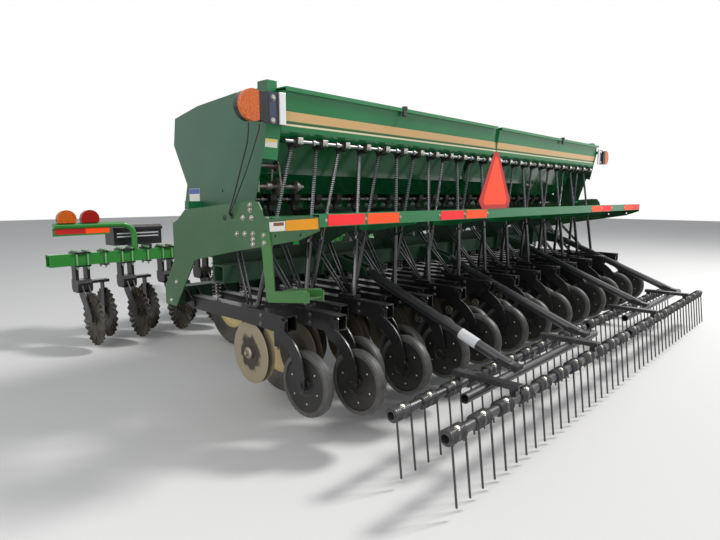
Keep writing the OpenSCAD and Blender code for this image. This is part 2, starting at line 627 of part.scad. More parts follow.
// Twin shanks below the bar at every second row: the swivel head trails one blade
// and an outrigger carries the next row's blade under the bar
function coulter_yc(i) = coulter_y + (is_front(i) ? 0 : coulter_step);
clamp_t = 12;
bar_top = bar_z + 50;
bar_low = bar_z - 50;
shank_t = 25;
shank_x = 46;
head_z = 500;
function unit_x() = [for (i = [0 : 2 : n_rows - 2]) row_x(i)];
bolt_y = 57.4;
module clamp_plates(x0, x1, bolts) for (z = [bar_low - clamp_t, bar_top])
  difference() {
    block([x0, bar_y - 72, z], [x1, bar_y + 72, z + clamp_t]);
    for (b = bolts)
      for (e = [-1, 1])
        translate([b, bar_y + e * bolt_y, z - 1]) cylinder(h = clamp_t + 2, d = 14.6);
  }
module coulter_arms() color(black) place()
  for (x = unit_x()) {
    clamp_plates(x - 64, x + 64, [x - 44, x + 44]);
    clamp_plates(x + row_pitch - 24, x + row_pitch + 24, [x + row_pitch]);
    for (s = [-1, 1])
      block([x + s * shank_x - shank_t / 2, bar_y - 44, head_z + 60],
        [x + s * shank_x + shank_t / 2, bar_y + 44, bar_low - clamp_t]);
    // swivel head
    plate_x(x - 60, 120, [[bar_y - 84, head_z - 6], [bar_y - 60, head_z - 30], [bar_y + 36, head_z - 30],
      [bar_y + 58, head_z], [bar_y + 58, head_z + 76], [bar_y - 58, head_z + 76], [bar_y - 84, head_z + 50]]);
    // trailing fork of the rear blade
    for (s = [-1, 1])
      plate_x(x + s * 26 - 5, 10, [[bar_y - 84, head_z + 30], [bar_y - 10, head_z - 20], [bar_y - 20, head_z - 60],
        [coulter_y + 34, coulter_z - 20], [coulter_y + 10, coulter_z - 34], [coulter_y - 26, coulter_z - 22],
        [coulter_y - 30, coulter_z + 22]]);
    disc_x(x, coulter_y, coulter_z, 30, 62);
    // outrigger with its eye, and the arm of the front blade
    difference() {
      block([x + 59, bar_y - 40, head_z + 36], [x + row_pitch + 26, bar_y + 40, head_z + 60]);
      translate([x + row_pitch - 2, bar_y - 22, head_z + 30]) cylinder(h = 40, d = 22);
    }
    plate_x(x + row_pitch - 26, 10, [[bar_y - 34, head_z + 40], [bar_y + 34, head_z + 40], [bar_y + 30, coulter_z],
      [bar_y, coulter_z - 32], [bar_y - 30, coulter_z]]);
    disc_x(x + row_pitch, bar_y, coulter_z, 30, 52);
    disc_x(x + row_pitch + 22, bar_y, coulter_z, 44, 8);
  }

// U-bolts round the bar
module u_bolts() color(steel) place()
  for (x = unit_x())
    for (u = [-44, 44, row_pitch]) {
      for (e = [-1, 1]) {
        translate([x + u, bar_y + e * bolt_y, bar_low - clamp_t - 24]) cylinder(h = 143 + clamp_t, d = 14);
        translate([x + u, bar_y + e * bolt_y, bar_low - clamp_t - 12]) cylinder(h = 11.7, d = 24);
      }
      rod([x + u, bar_y - bolt_y - 9, bar_top + clamp_t + 7.9],
        [x + u, bar_y + bolt_y + 9, bar_top + clamp_t + 7.9], 15.2);
    }

// Coulter blades: flat middle, rim fluted in a slanted zigzag, on a flanged hub
hub_r = 40;
module blade() {
  n = 2 * flutes;
  rings = [[hub_r, 0, 0], [coulter_d * 0.27, 0, 0], [coulter_d / 2, flute_h, 9]];
  pts = [for (side = [-1, 1]) for (g = rings) for (k = [0 : n - 1])
    let (a = k * 360 / n + g[2], w = (k % 2 == 0 ? 1 : -1) * g[1])
      [side * 3 + w, g[0] * cos(a), g[0] * sin(a)]];
  function at(side, g, k) = (side * 3 + g) * n + k % n;
  polyhedron(pts, concat(
    [for (k = [0 : n - 1]) [at(1, 0, k + 1), at(1, 1, k + 1), at(1, 1, k), at(1, 0, k)]],
    [for (k = [0 : n - 1]) [at(1, 1, k + 1), at(1, 2, k + 1), at(1, 2, k)]],
    [for (k = [0 : n - 1]) [at(1, 1, k + 1), at(1, 2, k), at(1, 1, k)]],
    [for (k = [0 : n - 1]) [at(0, 0, k), at(0, 1, k), at(0, 1, k + 1), at(0, 0, k + 1)]],
    [for (k = [0 : n - 1]) [at(0, 1, k), at(0, 2, k), at(0, 2, k + 1)]],
    [for (k = [0 : n - 1]) [at(0, 1, k), at(0, 2, k + 1), at(0, 1, k + 1)]],
    [for (k = [0 : n - 1]) [at(1, 2, k), at(1, 2, k + 1), at(0, 2, k + 1), at(0, 2, k)]],
    [for (k = [0 : n - 1]) [at(0, 0, k), at(0, 0, k + 1), at(1, 0, k + 1), at(1, 0, k)]]));
}
module blade_hub() rotate([0, 90, 0]) rotate_extrude()
  polygon([[15.05, -14], [26, -14], [30, -10], [55, -9], [55, -3.2], [hub_r - 0.3, -3.2], [hub_r - 0.3, 3.2],
    [55, 3.2], [55, 9], [30, 10], [26, 14], [15.05, 14]]);
module coulter_rank(front) color(rust) place()
  for (i = [0 : n_rows - 1])
    if (is_front(i) == front)
      translate([row_x(i), coulter_yc(i), coulter_z]) {
        blade();
        blade_hub();
      }
module front_coulters() coulter_rank(false);
module rear_coulters() coulter_rank(true);

// a block from x0 to x1 out from the middle, on side s
module side_block(s, x0, x1, y0, y1, z0, z1)
  block([s > 0 ? x0 : -x1, y0, z0], [s > 0 ? x1 : -x0, y1, z1]);

// Bent lamp tubes on the coulter bar, with the reflector strip's plate
post_x = 1715;
post_r = 110;
post_z = 1030;
post_end = 2380;
lamp_d = 148;
lamp_flat = 32;
module lamp_posts() color(green) place()
  for (s = [-1, 1]) {
    translate([s * post_x, bar_y, bar_top]) cylinder(h = post_z - post_r - bar_top, d = 50);
    bend(s);
    rod([s * (post_x + post_r), bar_y, post_z], [s * post_end, bar_y, post_z], 50);
    side_block(s, 1930, post_end + 10, bar_y - 4, bar_y - 1, post_z - 82, post_z - 20);
  }
module bend(s) intersection() {
  translate([s * (post_x + post_r), bar_y, post_z - post_r]) rotate([90, 0, 0])
    rotate_extrude() translate([post_r, 0]) circle(d = 50);
  block([s > 0 ? post_x - 30 : -post_x - post_r, bar_y - 30, post_z - post_r],
    [s > 0 ? post_x + post_r : -post_x + 30, bar_y + 30, post_z + 30]);
}

// D-shaped lamps: a round lens cut flat where it sits
module d_lamp(d, w) linear_extrude(w) difference() {
  circle(d = d);
  translate([-d, -d - lamp_flat]) square([2 * d, d]);
}
front_lamp_x = [2095, 2280];
module front_lamps() color(amber) place()
  for (s = [-1, 1])
    for (x = front_lamp_x)
      translate([s * x, bar_y - 8, post_z + 25.3 + lamp_flat]) rotate([90, 0, 0]) d_lamp(lamp_d, 24);
rear_lamp_x = box_end + 150;
rear_lamp_z = lid_z - 104;
module rear_lamps() color(amber) place()
  for (s = [-1, 1])
    translate([s * rear_lamp_x, 366, rear_lamp_z]) rotate([90, 0, 0]) rotate([0, 0, -s * 90]) d_lamp(lamp_d, 24);

// Black lamp backs with the rear lamps' brackets
module lamp_housings() color(black) place()
  for (s = [-1, 1]) {
    for (x = front_lamp_x)
      translate([s * x, bar_y + 22, post_z + 25.3 + lamp_flat]) rotate([90, 0, 0]) d_lamp(lamp_d - 6, 29.7);
    translate([s * rear_lamp_x, 406, rear_lamp_z]) rotate([90, 0, 0]) rotate([0, 0, -s * 90])
      d_lamp(lamp_d - 6, 39.7);
    side_block(s, box_end + 72, rear_lamp_x - lamp_flat - 0.3, 344, 367, rear_lamp_z - 66, rear_lamp_z + 66);
    side_block(s, box_end + 72, rear_lamp_x - lamp_flat + 12, 366.3, 400, rear_lamp_z - 66, rear_lamp_z + 66);
    // plate and bar that bolt to the panel's rear flange
    side_block(s, box_half + 6, box_end + 80, 360, 364, rear_lamp_z - 76, rear_lamp_z + 76);
    side_block(s, box_half + 6, box_half + 42, 352, 364, rear_lamp_z - 74, rear_lamp_z + 78);
    side_block(s, box_end - 24, box_end - 6, 364, 397.4, rear_lamp_z + 30, rear_lamp_z + 60);
  }

// Leads that drop from the left rear lamp and its bracket into the hole in the lower end plate
lead_sides = 8;
leads = [[7.5, [[-2352, 386, 1619], [-2351, 389, 1580], [-2346, 411, 1520], [-2340, 448, 1462],
    [-2334, 500, 1375], [-2329, 562, 1265], [-2326, 600, 1205], [-2321, 611, 1180], [-2297, 613, 1168]]],
  [6, [[-2286, 388, 1619], [-2286, 394, 1590], [-2289, 424, 1530], [-2298, 485, 1405],
    [-2308, 543, 1300], [-2313, 590, 1225], [-2312, 612, 1195], [-2308, 620, 1178], [-2297, 621.4, 1170]]]];
function knot(p, k) = k < 0 ? 2 * p[0] - p[1] : k >= len(p) ? 2 * p[len(p) - 1] - p[len(p) - 2] : p[k];
function eased(p, k, t) = 0.5 * (2 * p[k] + (knot(p, k + 1) - knot(p, k - 1)) * t
  + (2 * knot(p, k - 1) - 5 * p[k] + 4 * knot(p, k + 1) - knot(p, k + 2)) * t * t
  + (3 * p[k] - knot(p, k - 1) - 3 * knot(p, k + 1) + knot(p, k + 2)) * t * t * t);
function route(p) = concat([for (k = [0 : len(p) - 2]) for (j = [0 : 3]) eased(p, k, j / 4)], [p[len(p) - 1]]);
function across(r, k) = let (v = r[min(k + 1, len(r) - 1)] - r[max(k - 1, 0)], u = cross(v, [0, 1, 0])) u / norm(u);
function over(r, k) = let (v = r[min(k + 1, len(r) - 1)] - r[max(k - 1, 0)], u = cross(across(r, k), v)) u / norm(u);
module lead(d, r) {
  m = lead_sides;
  n = len(r);
  polyhedron([for (k = [0 : n - 1]) for (j = [0 : m - 1])
      r[k] + d / 2 * (cos(j * 360 / m) * across(r, k) - sin(j * 360 / m) * over(r, k))],
    concat([[for (j = [0 : m - 1]) j]], [[for (j = [m - 1 : -1 : 0]) (n - 1) * m + j]],
      [for (k = [0 : n - 2]) for (j = [0 : m - 1])
        [k * m + j, (k + 1) * m + j, (k + 1) * m + (j + 1) % m, k * m + (j + 1) % m]]));
}
module lamp_leads() color(black) place()
  for (l = leads)
    lead(l[0], route(l[1]));

// Slow-vehicle triangle with its bracket on the walkboard's beam
sign_x = -770;
module slow_sign() color(amber) place() {
  translate([sign_x, -45, 1196]) rotate([90, 0, 0]) linear_extrude(3) difference() {
    polygon([[-158, 0], [158, 0], [200, 48], [26, 355], [-26, 355], [-200, 48]]);
    for (z = [60, 240])
      translate([0, z]) circle(d = 9);
  }
  block([sign_x - 22, -45, 1196], [sign_x + 22, -39, 1500]);
  block([sign_x - 22, -45, 1195.3], [sign_x + 22, 4, 1201]);
}

// Black tool box on two brackets, with a lid and two ribs
box_x = [-1870, -1420];
module tool_box() color(black) place() {
  block([box_x[0], bar_y + 66, 835], [box_x[1], bar_y + 250, 985]);
  plate_x(box_x[0] - 8, box_x[1] - box_x[0] + 16, [[bar_y + 58, 972], [bar_y + 258, 972], [bar_y + 258, 1002],
    [bar_y + 230, 1018], [bar_y + 96, 1018], [bar_y + 58, 996]]);
  for (z = [925, 950])
    block([box_x[0] + 90, bar_y + 60, z - 5], [box_x[1] - 30, bar_y + 66, z + 5]);
  for (x = [box_x[0] + 190, box_x[1] - 130])
    block([x - 12, bar_y + 30, bar_top], [x + 12, bar_y + 200, 835]);
}

// Tongue: eye on the swivel pin, straight beam over the coulters, drop to the hitch clevis
module tongue() color(green) place() {
  difference() {
    union() {
      translate([0, bar_y, 860]) cylinder(h = 120, d = 150);
      block([-60, bar_y, 860], [60, bar_y + 1150, 980]);
      plate_x(-60, 120, [[bar_y + 1050, 860], [bar_y + 1150, 980], [hitch_y - 120, hitch_z + 60],
        [hitch_y - 120, hitch_z - 60]]);
      block([-60, hitch_y - 140, hitch_z - 60], [60, hitch_y - 90, hitch_z + 60]);
      for (z = [-55, 30])
        block([-50, hitch_y - 100, hitch_z + z], [50, hitch_y + 50, hitch_z + z + 25]);
    }
    translate([0, bar_y, 850]) cylinder(h = 140, d = 60.1);
    translate([0, hitch_y, hitch_z - 70]) cylinder(h = 140, d = hitch_bore);
  }
  // jack sleeve
  difference() {
    block([60, bar_y + 1000, 560], [140, bar_y + 1080, 1080]);
    block([69.5, bar_y + 1009.5, 550], [130.5, bar_y + 1070.5, 1070]);
  }
}

// Jack leg with its foot
module jack_leg() color(black) place() {
  block([70, bar_y + 1010, 12], [130, bar_y + 1070, 700]);
  block([20, bar_y + 960, 0], [180, bar_y + 1120, 12]);
}

// Harrow section: two open pipes, main tube, channels and two round arms that hang on the ears' pins
arm_foot = [-452, 390];
harrow_end = [-outer + 20, 50];
module harrow_frame(dx) color(black) place() translate([dx, 0, 0]) {
  pipe_x(harrow_end[0], harrow_end[1], harrow_front_y, harrow_bar_z, harrow_bar_d, 5);
  pipe_x(harrow_end[0] - 30, harrow_end[1] - 20, harrow_rear_y, harrow_bar_z, harrow_bar_d, 5);
  pipe_x(-outer + 360, -190, -510, 345, 50, 5);
  // channels over the bars, with saddles
  for (x = [-1620, -605]) {
    difference() {
      block([x - 25, harrow_rear_y - 30, 370.3], [x + 25, harrow_front_y + 30, 396]);
      block([x - 19, harrow_rear_y - 31, 369], [x + 19, harrow_front_y + 31, 390]);
    }
    for (y = [harrow_front_y, harrow_rear_y])
      block([x - 19.5, y - 16, harrow_bar_z + harrow_bar_d / 2 + 0.3], [x + 19.5, y + 16, 378]);
  }
  // round arms with an eye on top and a clamp on the main tube
  for (x = [-7 * row_pitch, -2 * row_pitch])
    difference() {
      union() {
        rod([x, arm_foot[0] - 20, arm_foot[1] - 8], [x, lift_y - 8, lift_z - 2], 60);
        disc_x(x, lift_y, lift_z, 56, 52);
        plate_x(x - 30, 60, [[-540, 370.3], [-480, 370.3], [-410, 380], [-420, 420], [-500, 396], [-540, 390]]);
      }
      disc_x(x, lift_y, lift_z, 30.1, 70);
    }
}

// Double coil tines: two coils and a bridge wound round the bar, with two long legs
coil_turns = 4;
coil_step = 12;
module coil(x, y) translate([x, y, harrow_bar_z]) rotate([0, 90, 0]) rotate_extrude()
  polygon(concat([[harrow_bar_d / 2 + 0.3, 0]],
    [for (k = [0 : coil_turns - 1]) for (j = [0.15, 0.5, 0.85])
      [coil_d / 2 - (j == 0.5 ? 0 : 4), coil_step * (k + j)]],
    [[harrow_bar_d / 2 + 0.3, coil_step * coil_turns]]));
module harrow_tines(dx) color(black) place() translate([dx, 0, 0])
  for (bar = [[harrow_front_y, harrow_end[0] + 60], [harrow_rear_y, harrow_end[0] + 30]])
    for (k = [0 : n_rows / 2 - 2]) {
      x = bar[1] + k * tine_pitch;
      coil(x - 56, bar[0]);
      coil(x + 56 - coil_step * coil_turns, bar[0]);
      difference() {
        disc_x(x, bar[0], harrow_bar_z, harrow_bar_d + 18, 18);
        disc_x(x, bar[0], harrow_bar_z, harrow_bar_d + 0.6, 20);
      }
      for (s = [-1, 1])
        rod([x + s * 50.7, bar[0] - coil_d / 2 + tine_wire, harrow_bar_z - 16],
          [x + s * 50.7, bar[0] - coil_d / 2 + tine_wire / 2 - tine_lean, tip_z], tine_wire);
    }
module harrow_left() harrow_frame(0);
module harrow_right() harrow_frame(section_step);
module harrow_left_tines() harrow_tines(0);
module harrow_right_tines() harrow_tines(section_step);

main_frame();
bulkheads();
end_plates();
end_panels();
seed_box();
small_seed_box();
walkboard();
step();
feed_cups();
small_feed_shaft();
main_feed_shaft();
chain_drive();
seed_tubes();
seed_hoses();
opener_arms();
opener_discs();
down_springs();
press_arms();
front_press_wheels();
rear_press_wheels();
gauge_leg_left();
gauge_leg_right();
gauge_wheel_left();
gauge_wheel_right();
hitch_frame();
hitch_wheel_left();
hitch_wheel_right();
coulter_bar();
coulter_arms();
u_bolts();
front_coulters();
rear_coulters();
lamp_posts();
lamp_housings();
front_lamps();
rear_lamps();
lamp_leads();
slow_sign();
tool_box();
tongue();
jack_leg();
lid_left();
lid_right();
small_lid_left();
small_lid_right();
harrow_left();
harrow_left_tines();
harrow_right();
harrow_right_tines();
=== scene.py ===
import bpy
import math
from mathutils import Matrix, Vector


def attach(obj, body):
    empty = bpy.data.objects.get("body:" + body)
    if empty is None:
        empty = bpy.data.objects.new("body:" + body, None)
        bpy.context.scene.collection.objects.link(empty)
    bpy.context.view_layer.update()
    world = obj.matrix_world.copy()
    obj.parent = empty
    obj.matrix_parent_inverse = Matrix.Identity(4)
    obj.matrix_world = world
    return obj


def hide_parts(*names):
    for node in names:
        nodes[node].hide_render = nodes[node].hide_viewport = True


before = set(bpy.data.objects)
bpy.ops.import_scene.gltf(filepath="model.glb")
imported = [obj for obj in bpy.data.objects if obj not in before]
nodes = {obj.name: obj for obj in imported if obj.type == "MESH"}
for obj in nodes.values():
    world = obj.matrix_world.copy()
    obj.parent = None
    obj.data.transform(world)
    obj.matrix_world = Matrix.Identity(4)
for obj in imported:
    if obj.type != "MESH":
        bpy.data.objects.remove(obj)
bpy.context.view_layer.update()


# The camera: it stands behind the left rear corner at eye height, and looks along the
# back of the machine, as the photograph does.
camera_data = bpy.data.cameras.new("Camera")
camera_data.sensor_width = 36.0
camera_data.lens = 27.05
camera = bpy.data.objects.new("Camera", camera_data)
camera.location = (-3.920, -4.087, 1.269)
camera.rotation_euler = (math.radians(82.32), 0.0, math.radians(-47.18))
bpy.context.scene.collection.objects.link(camera)
bpy.context.scene.camera = camera
bpy.context.scene.view_settings.view_transform = "Standard"


# Lamp leads: two black rubber leads hang from the left rear lamp and its bracket, and go
# into one hole in the lower end plate. Each is a curve with a round bevel.
def added(tree, kind, fed=None, **settings):
    """A shader node with its settings made and its sockets fed with constants or outputs."""
    node = tree.nodes.new("ShaderNode" + kind)
    for name, value in settings.items():
        setattr(node, name, value)
    for key, value in (fed or {}).items():
        socket = node.inputs[key]
        if isinstance(value, bpy.types.NodeSocket):
            tree.links.new(value, socket)
        else:
            socket.default_value = (*value[:3], 1.0) if socket.type == "RGBA" else value
    return node


def grained(name, colour, rough, scale, detail, strength, depth):
    """A plain matt finish with a fine grain in its height."""
    skin = bpy.data.materials.new(name)
    skin.use_nodes = True
    tree = skin.node_tree
    place = added(tree, "TexCoord").outputs["Object"]
    grain = added(tree, "TexNoise", {"Vector": place, "Scale": scale, "Detail": detail})
    relief = added(tree, "Bump", {"Height": grain.outputs["Fac"], "Strength": strength, "Distance": depth})
    shader = tree.nodes["Principled BSDF"]
    shader.inputs["Base Color"].default_value = (*colour, 1.0)
    shader.inputs["Roughness"].default_value = rough
    tree.links.new(relief.outputs["Normal"], shader.inputs["Normal"])
    return skin


def lead(name, route, thickness, skin, roundness=3):
    line = bpy.data.curves.new(name, "CURVE")
    line.dimensions = "3D"
    line.bevel_depth = thickness / 2
    line.bevel_resolution = roundness
    line.use_fill_caps = True
    run = line.splines.new("POLY")
    run.points.add(len(route) - 1)
    for point, at in zip(run.points, route):
        point.co = (*at, 1.0)
    piece = bpy.data.objects.new(name, line)
    bpy.context.scene.collection.objects.link(piece)
    line.materials.append(skin)
    return piece


def eased(points, steps):
    """A smooth line through a few given points."""
    pts = [Vector(p) for p in points]
    pts = [pts[0] * 2 - pts[1]] + pts + [pts[-1] * 2 - pts[-2]]
    line = []
    for a, b, c, d in zip(pts, pts[1:], pts[2:], pts[3:]):
        for k in range(steps):
            t = k / steps
            line.append(0.5 * (2 * b + (c - a) * t + (2 * a - 5 * b + 4 * c - d) * t * t
                               + (3 * b - a - 3 * c + d) * t ** 3))
    return line + [pts[-2]]


lead_skin = grained("Lead jacket", (0.012, 0.012, 0.013), 0.5, 240.0, 2.0, 0.15, 0.001)
lead_routes = {
    "lamp_lead": (0.0075, [(-2.352, -1.914, 1.619), (-2.351, -1.911, 1.580), (-2.346, -1.889, 1.520),
                           (-2.340, -1.852, 1.462), (-2.334, -1.800, 1.375), (-2.329, -1.738, 1.265),
                           (-2.326, -1.700, 1.205), (-2.321, -1.689, 1.180), (-2.297, -1.687, 1.168)]),
    "bracket_lead": (0.006, [(-2.286, -1.912, 1.619), (-2.286, -1.906, 1.590), (-2.289, -1.876, 1.530),
                             (-2.298, -1.815, 1.405), (-2.308, -1.757, 1.300), (-2.313, -1.710, 1.225),
                             (-2.312, -1.688, 1.195), (-2.308, -1.680, 1.178), (-2.297, -1.6786, 1.170)]),
}
for name, (thickness, points) in lead_routes.items():
    route = eased(points, 4)
    piece = lead(name, route, thickness, lead_skin)
    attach(piece, "drill")
    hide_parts("lamp_leads")


# Floor and studio light: a pale floor under a broad lamp from the rear right, a weaker
# one from the left and an even grey sky, so that colours show about as they are mixed.
def worked(tree, operation, *values):
    """One step of arithmetic on outputs and constants."""
    return added(tree, "Math", dict(enumerate(values)), operation=operation).outputs[0]


bpy.ops.mesh.primitive_plane_add(size=60.0, location=(0.0, 0.0, 0.0))
floor = bpy.context.object
floor.name = "floor"
floor.data.materials.append(grained("Floor paint", (0.80, 0.79, 0.77), 0.9, 9.0, 8.0, 0.05, 0.01))

sky = bpy.data.worlds.new("Sky")
sky.use_nodes = True
bpy.context.scene.world = sky
tree = sky.node_tree
even = tree.nodes["Background"]
even.inputs["Color"].default_value = (0.90, 0.94, 1.0, 1.0)
even.inputs["Strength"].default_value = 0.34
white = added(tree, "Background", {"Color": (1.0, 1.0, 1.0), "Strength": 1.0})
rays = added(tree, "LightPath").outputs
seen = worked(tree, "MAXIMUM", rays["Is Camera Ray"], rays["Is Transmission Ray"])
seen = worked(tree, "MAXIMUM", seen, rays["Is Glossy Ray"])
either = added(tree, "MixShader", {0: seen, 1: even.outputs[0], 2: white.outputs[0]})
tree.links.new(either.outputs[0], tree.nodes["World Output"].inputs["Surface"])

for name, at, aim, size, power in (
    ("Key lamp", (6.5, -6.5, 9.5), (0.0, -0.6, 0.8), 2.4, 1250.0),
    ("Fill lamp", (-8.0, -4.0, 4.0), (0.0, 0.0, 0.7), 5.0, 260.0),
):
    lamp_data = bpy.data.lights.new(name, "AREA")
    lamp_data.size = size
    lamp_data.energy = power
    lamp = bpy.data.objects.new(name, lamp_data)
    lamp.location = at
    lamp.rotation_euler = (Vector(aim) - Vector(at)).to_track_quat("-Z", "Y").to_euler()
    bpy.context.scene.collection.objects.link(lamp)


# Frame and end panels: welded tube and folded plate in dark green enamel, faded in patches,
# rubbed at its edges, and dusty on what faces up and near the ground. The panels' green is
# darkened as painted shade, and their rear flanges carry a brighter green as painted light.
def srgb(r, g, b):
    return tuple(((c / 255 + 0.055) / 1.055) ** 2.4 if c > 10 else c / 255 / 12.92 for c in (r, g, b))


def parts(tree, output):
    """The X, Y and Z of an output, each by itself."""
    return added(tree, "SeparateXYZ", {0: output}).outputs


def mixed(tree, mask, below, above, blend="MIX"):
    """One colour laid over another by a mask."""
    fed = {0: mask, 6: below, 7: above}
    return added(tree, "Mix", fed, data_type="RGBA", blend_type=blend).outputs[2]


def field_wear():
    """Shader group: paint, faded paint, dust and rubbed edges in, colour, roughness and height out."""
    group = bpy.data.node_groups.new("Field wear", "ShaderNodeTree")
    for way, kind, names in (
        ("INPUT", "Color", ("Paint", "Faded", "Dust", "Bare")),
        ("INPUT", "Float", ("Dust amount", "Edge wear", "Gloss", "Patch scale", "Grain scale")),
        ("OUTPUT", "Color", ("Colour",)),
        ("OUTPUT", "Float", ("Roughness", "Height")),
    ):
        for name in names:
            group.interface.new_socket(name=name, in_out=way, socket_type="NodeSocket" + kind)
    given = group.nodes.new("NodeGroupInput").outputs
    result = group.nodes.new("NodeGroupOutput").inputs
    place = added(group, "TexCoord").outputs["Object"]
    normal = added(group, "NewGeometry").outputs["Normal"]

    def noise(scale, detail, rough):
        fed = {"Vector": place, "Scale": scale, "Detail": detail, "Roughness": rough}
        return added(group, "TexNoise", fed).outputs["Fac"]

    def ranged(value, low, high):
        fed = {"Value": value, "From Min": low, "From Max": high}
        return added(group, "MapRange", fed, interpolation_type="SMOOTHSTEP").outputs["Result"]

    def sums(operation, a, b):
        return added(group, "Math", {0: a, 1: b}, operation=operation, use_clamp=True).outputs[0]

    patches = ranged(noise(given["Patch scale"], 5.0, 0.6), 0.35, 0.75)
    grain = noise(given["Grain scale"], 4.0, 0.65)
    specks = ranged(noise(34.0, 6.0, 0.7), 0.52, 0.72)
    chips = ranged(noise(22.0, 6.0, 0.7), 0.50, 0.66)
    up = ranged(parts(group, normal)["Z"], 0.25, 0.95)
    low = ranged(parts(group, place)["Z"], 0.75, 0.05)
    resting = sums("ADD", sums("ADD", sums("MULTIPLY", up, 0.75), sums("MULTIPLY", low, 0.65)), 0.18)
    uneven = sums("ADD", sums("ADD", sums("MULTIPLY", patches, 0.55), sums("MULTIPLY", specks, 0.45)), 0.25)
    dusty = sums("MULTIPLY", sums("MULTIPLY", resting, uneven), given["Dust amount"])
    softened = added(group, "Bevel", {"Radius": 0.004}, samples=3).outputs["Normal"]
    same = added(group, "VectorMath", {0: softened, 1: normal}, operation="DOT_PRODUCT").outputs["Value"]
    rubbed = sums("MULTIPLY", sums("MULTIPLY", ranged(same, 0.985, 0.80), chips), given["Edge wear"])
    colour = mixed(group, sums("MULTIPLY", patches, 0.7), given["Paint"], given["Faded"])
    colour = mixed(group, rubbed, colour, given["Bare"])
    group.links.new(mixed(group, dusty, colour, given["Dust"]), result["Colour"])
    rough = sums("ADD", sums("MULTIPLY", grain, 0.12), given["Gloss"])
    group.links.new(sums("ADD", rough, sums("MULTIPLY", dusty, 0.55)), result["Roughness"])
    height = sums("ADD", sums("MULTIPLY", grain, 0.5), sums("MULTIPLY", dusty, 0.5))
    group.links.new(height, result["Height"])
    return group


wear = field_wear()


def weathered(name, paint, faded, dust=0.3, edges=0.3, gloss=0.3, metal=0.0, coat=0.0, patch=1.6,
              grain=60.0, bump=0.08, bare=(0.30, 0.22, 0.16), dust_colour=(0.42, 0.37, 0.30)):
    """A finish with the shared wear on it."""
    skin = bpy.data.materials.new(name)
    skin.use_nodes = True
    tree = skin.node_tree
    shader = tree.nodes["Principled BSDF"].inputs
    shader["Metallic"].default_value = metal
    shader["Coat Weight"].default_value = coat
    shader["Coat Roughness"].default_value = 0.12
    worn = added(tree, "Group", {
        "Paint": paint, "Faded": faded, "Dust": dust_colour, "Bare": bare, "Dust amount": dust,
        "Edge wear": edges, "Gloss": gloss, "Patch scale": patch, "Grain scale": grain}, node_tree=wear)
    relief = added(tree, "Bump", {"Height": worn.outputs["Height"], "Strength": bump, "Distance": 0.002})
    tree.links.new(worn.outputs["Colour"], shader["Base Color"])
    tree.links.new(worn.outputs["Roughness"], shader["Roughness"])
    tree.links.new(relief.outputs["Normal"], shader["Normal"])
    return skin


def painted_over(skin, mask, colour, blend="MIX"):
    """Lays a colour over a finish by a mask, and gives the output of the new colour."""
    base = skin.node_tree.nodes["Principled BSDF"].inputs["Base Color"]
    over = mixed(skin.node_tree, mask, base.links[0].from_socket, colour, blend)
    skin.node_tree.links.new(over, base)
    return over


def finish(piece, skin):
    piece.data.materials.clear()
    piece.data.materials.append(skin)


dark_green = weathered("Frame enamel", srgb(8, 52, 32), srgb(14, 62, 38), dust=0.15, gloss=0.5)
# The panel green is duller and darker than the box green: painted shade.
panel_green_light_and_shade = weathered(
    "End panel enamel, painted shade and light", srgb(26, 80, 54), srgb(40, 94, 66), dust=0.2, gloss=0.34, coat=0.15)
tree = panel_green_light_and_shade.node_tree
rearward = parts(tree, added(tree, "NewGeometry").outputs["Normal"])["Y"]
# The rear flanges get the box's brighter green by their facing: painted light.
flange = added(tree, "MapRange", {"Value": rearward, "From Min": -0.35, "From Max": -0.50})
painted_over(panel_green_light_and_shade, flange.outputs["Result"], srgb(14, 116, 62))
finish(nodes["main_frame"], dark_green)
finish(nodes["bulkheads"], dark_green)
finish(nodes["end_panels"], panel_green_light_and_shade)


# End-plate bolts: zinc hex heads on washers, through both end plates into the frame. One
# head is made, and copied to each place where the left plate shows one.
zinc = weathered("Zinc plate", srgb(182, 181, 174), srgb(138, 134, 126), dust=0.25, edges=0.0, metal=1.0,
                 patch=12.0, grain=160.0)


def let_go():
    if bpy.context.object and bpy.context.object.mode != "OBJECT":
        bpy.ops.object.mode_set(mode="OBJECT")
    bpy.ops.object.select_all(action="DESELECT")


def settle(piece, name):
    """Puts a piece's place into its mesh, closes its seams and turns its faces out."""
    let_go()
    piece.select_set(True)
    bpy.context.view_layer.objects.active = piece
    bpy.ops.object.transform_apply(location=True, rotation=True, scale=True)
    bpy.ops.object.mode_set(mode="EDIT")
    bpy.ops.mesh.select_all(action="SELECT")
    bpy.ops.mesh.remove_doubles(threshold=0.00002)
    bpy.ops.mesh.normals_make_consistent(inside=False)
    bpy.ops.object.mode_set(mode="OBJECT")
    piece.name = name
    return piece


def joined(pieces, name):
    let_go()
    for piece in pieces:
        piece.select_set(True)
    bpy.context.view_layer.objects.active = pieces[0]
    if len(pieces) > 1:
        bpy.ops.object.join()
    pieces[0].name = name
    return pieces[0]


def set_out(piece, shifts, name):
    """Copies a finished piece by each shift, or places it by each matrix, and joins the copies."""
    made = []
    for shift in shifts:
        copy = piece.copy()
        copy.data = piece.data.copy()
        copy.data.transform(shift if isinstance(shift, Matrix) else Matrix.Translation(shift))
        bpy.context.scene.collection.objects.link(copy)
        made.append(copy)
    bpy.data.objects.remove(piece)
    return joined(made, name)


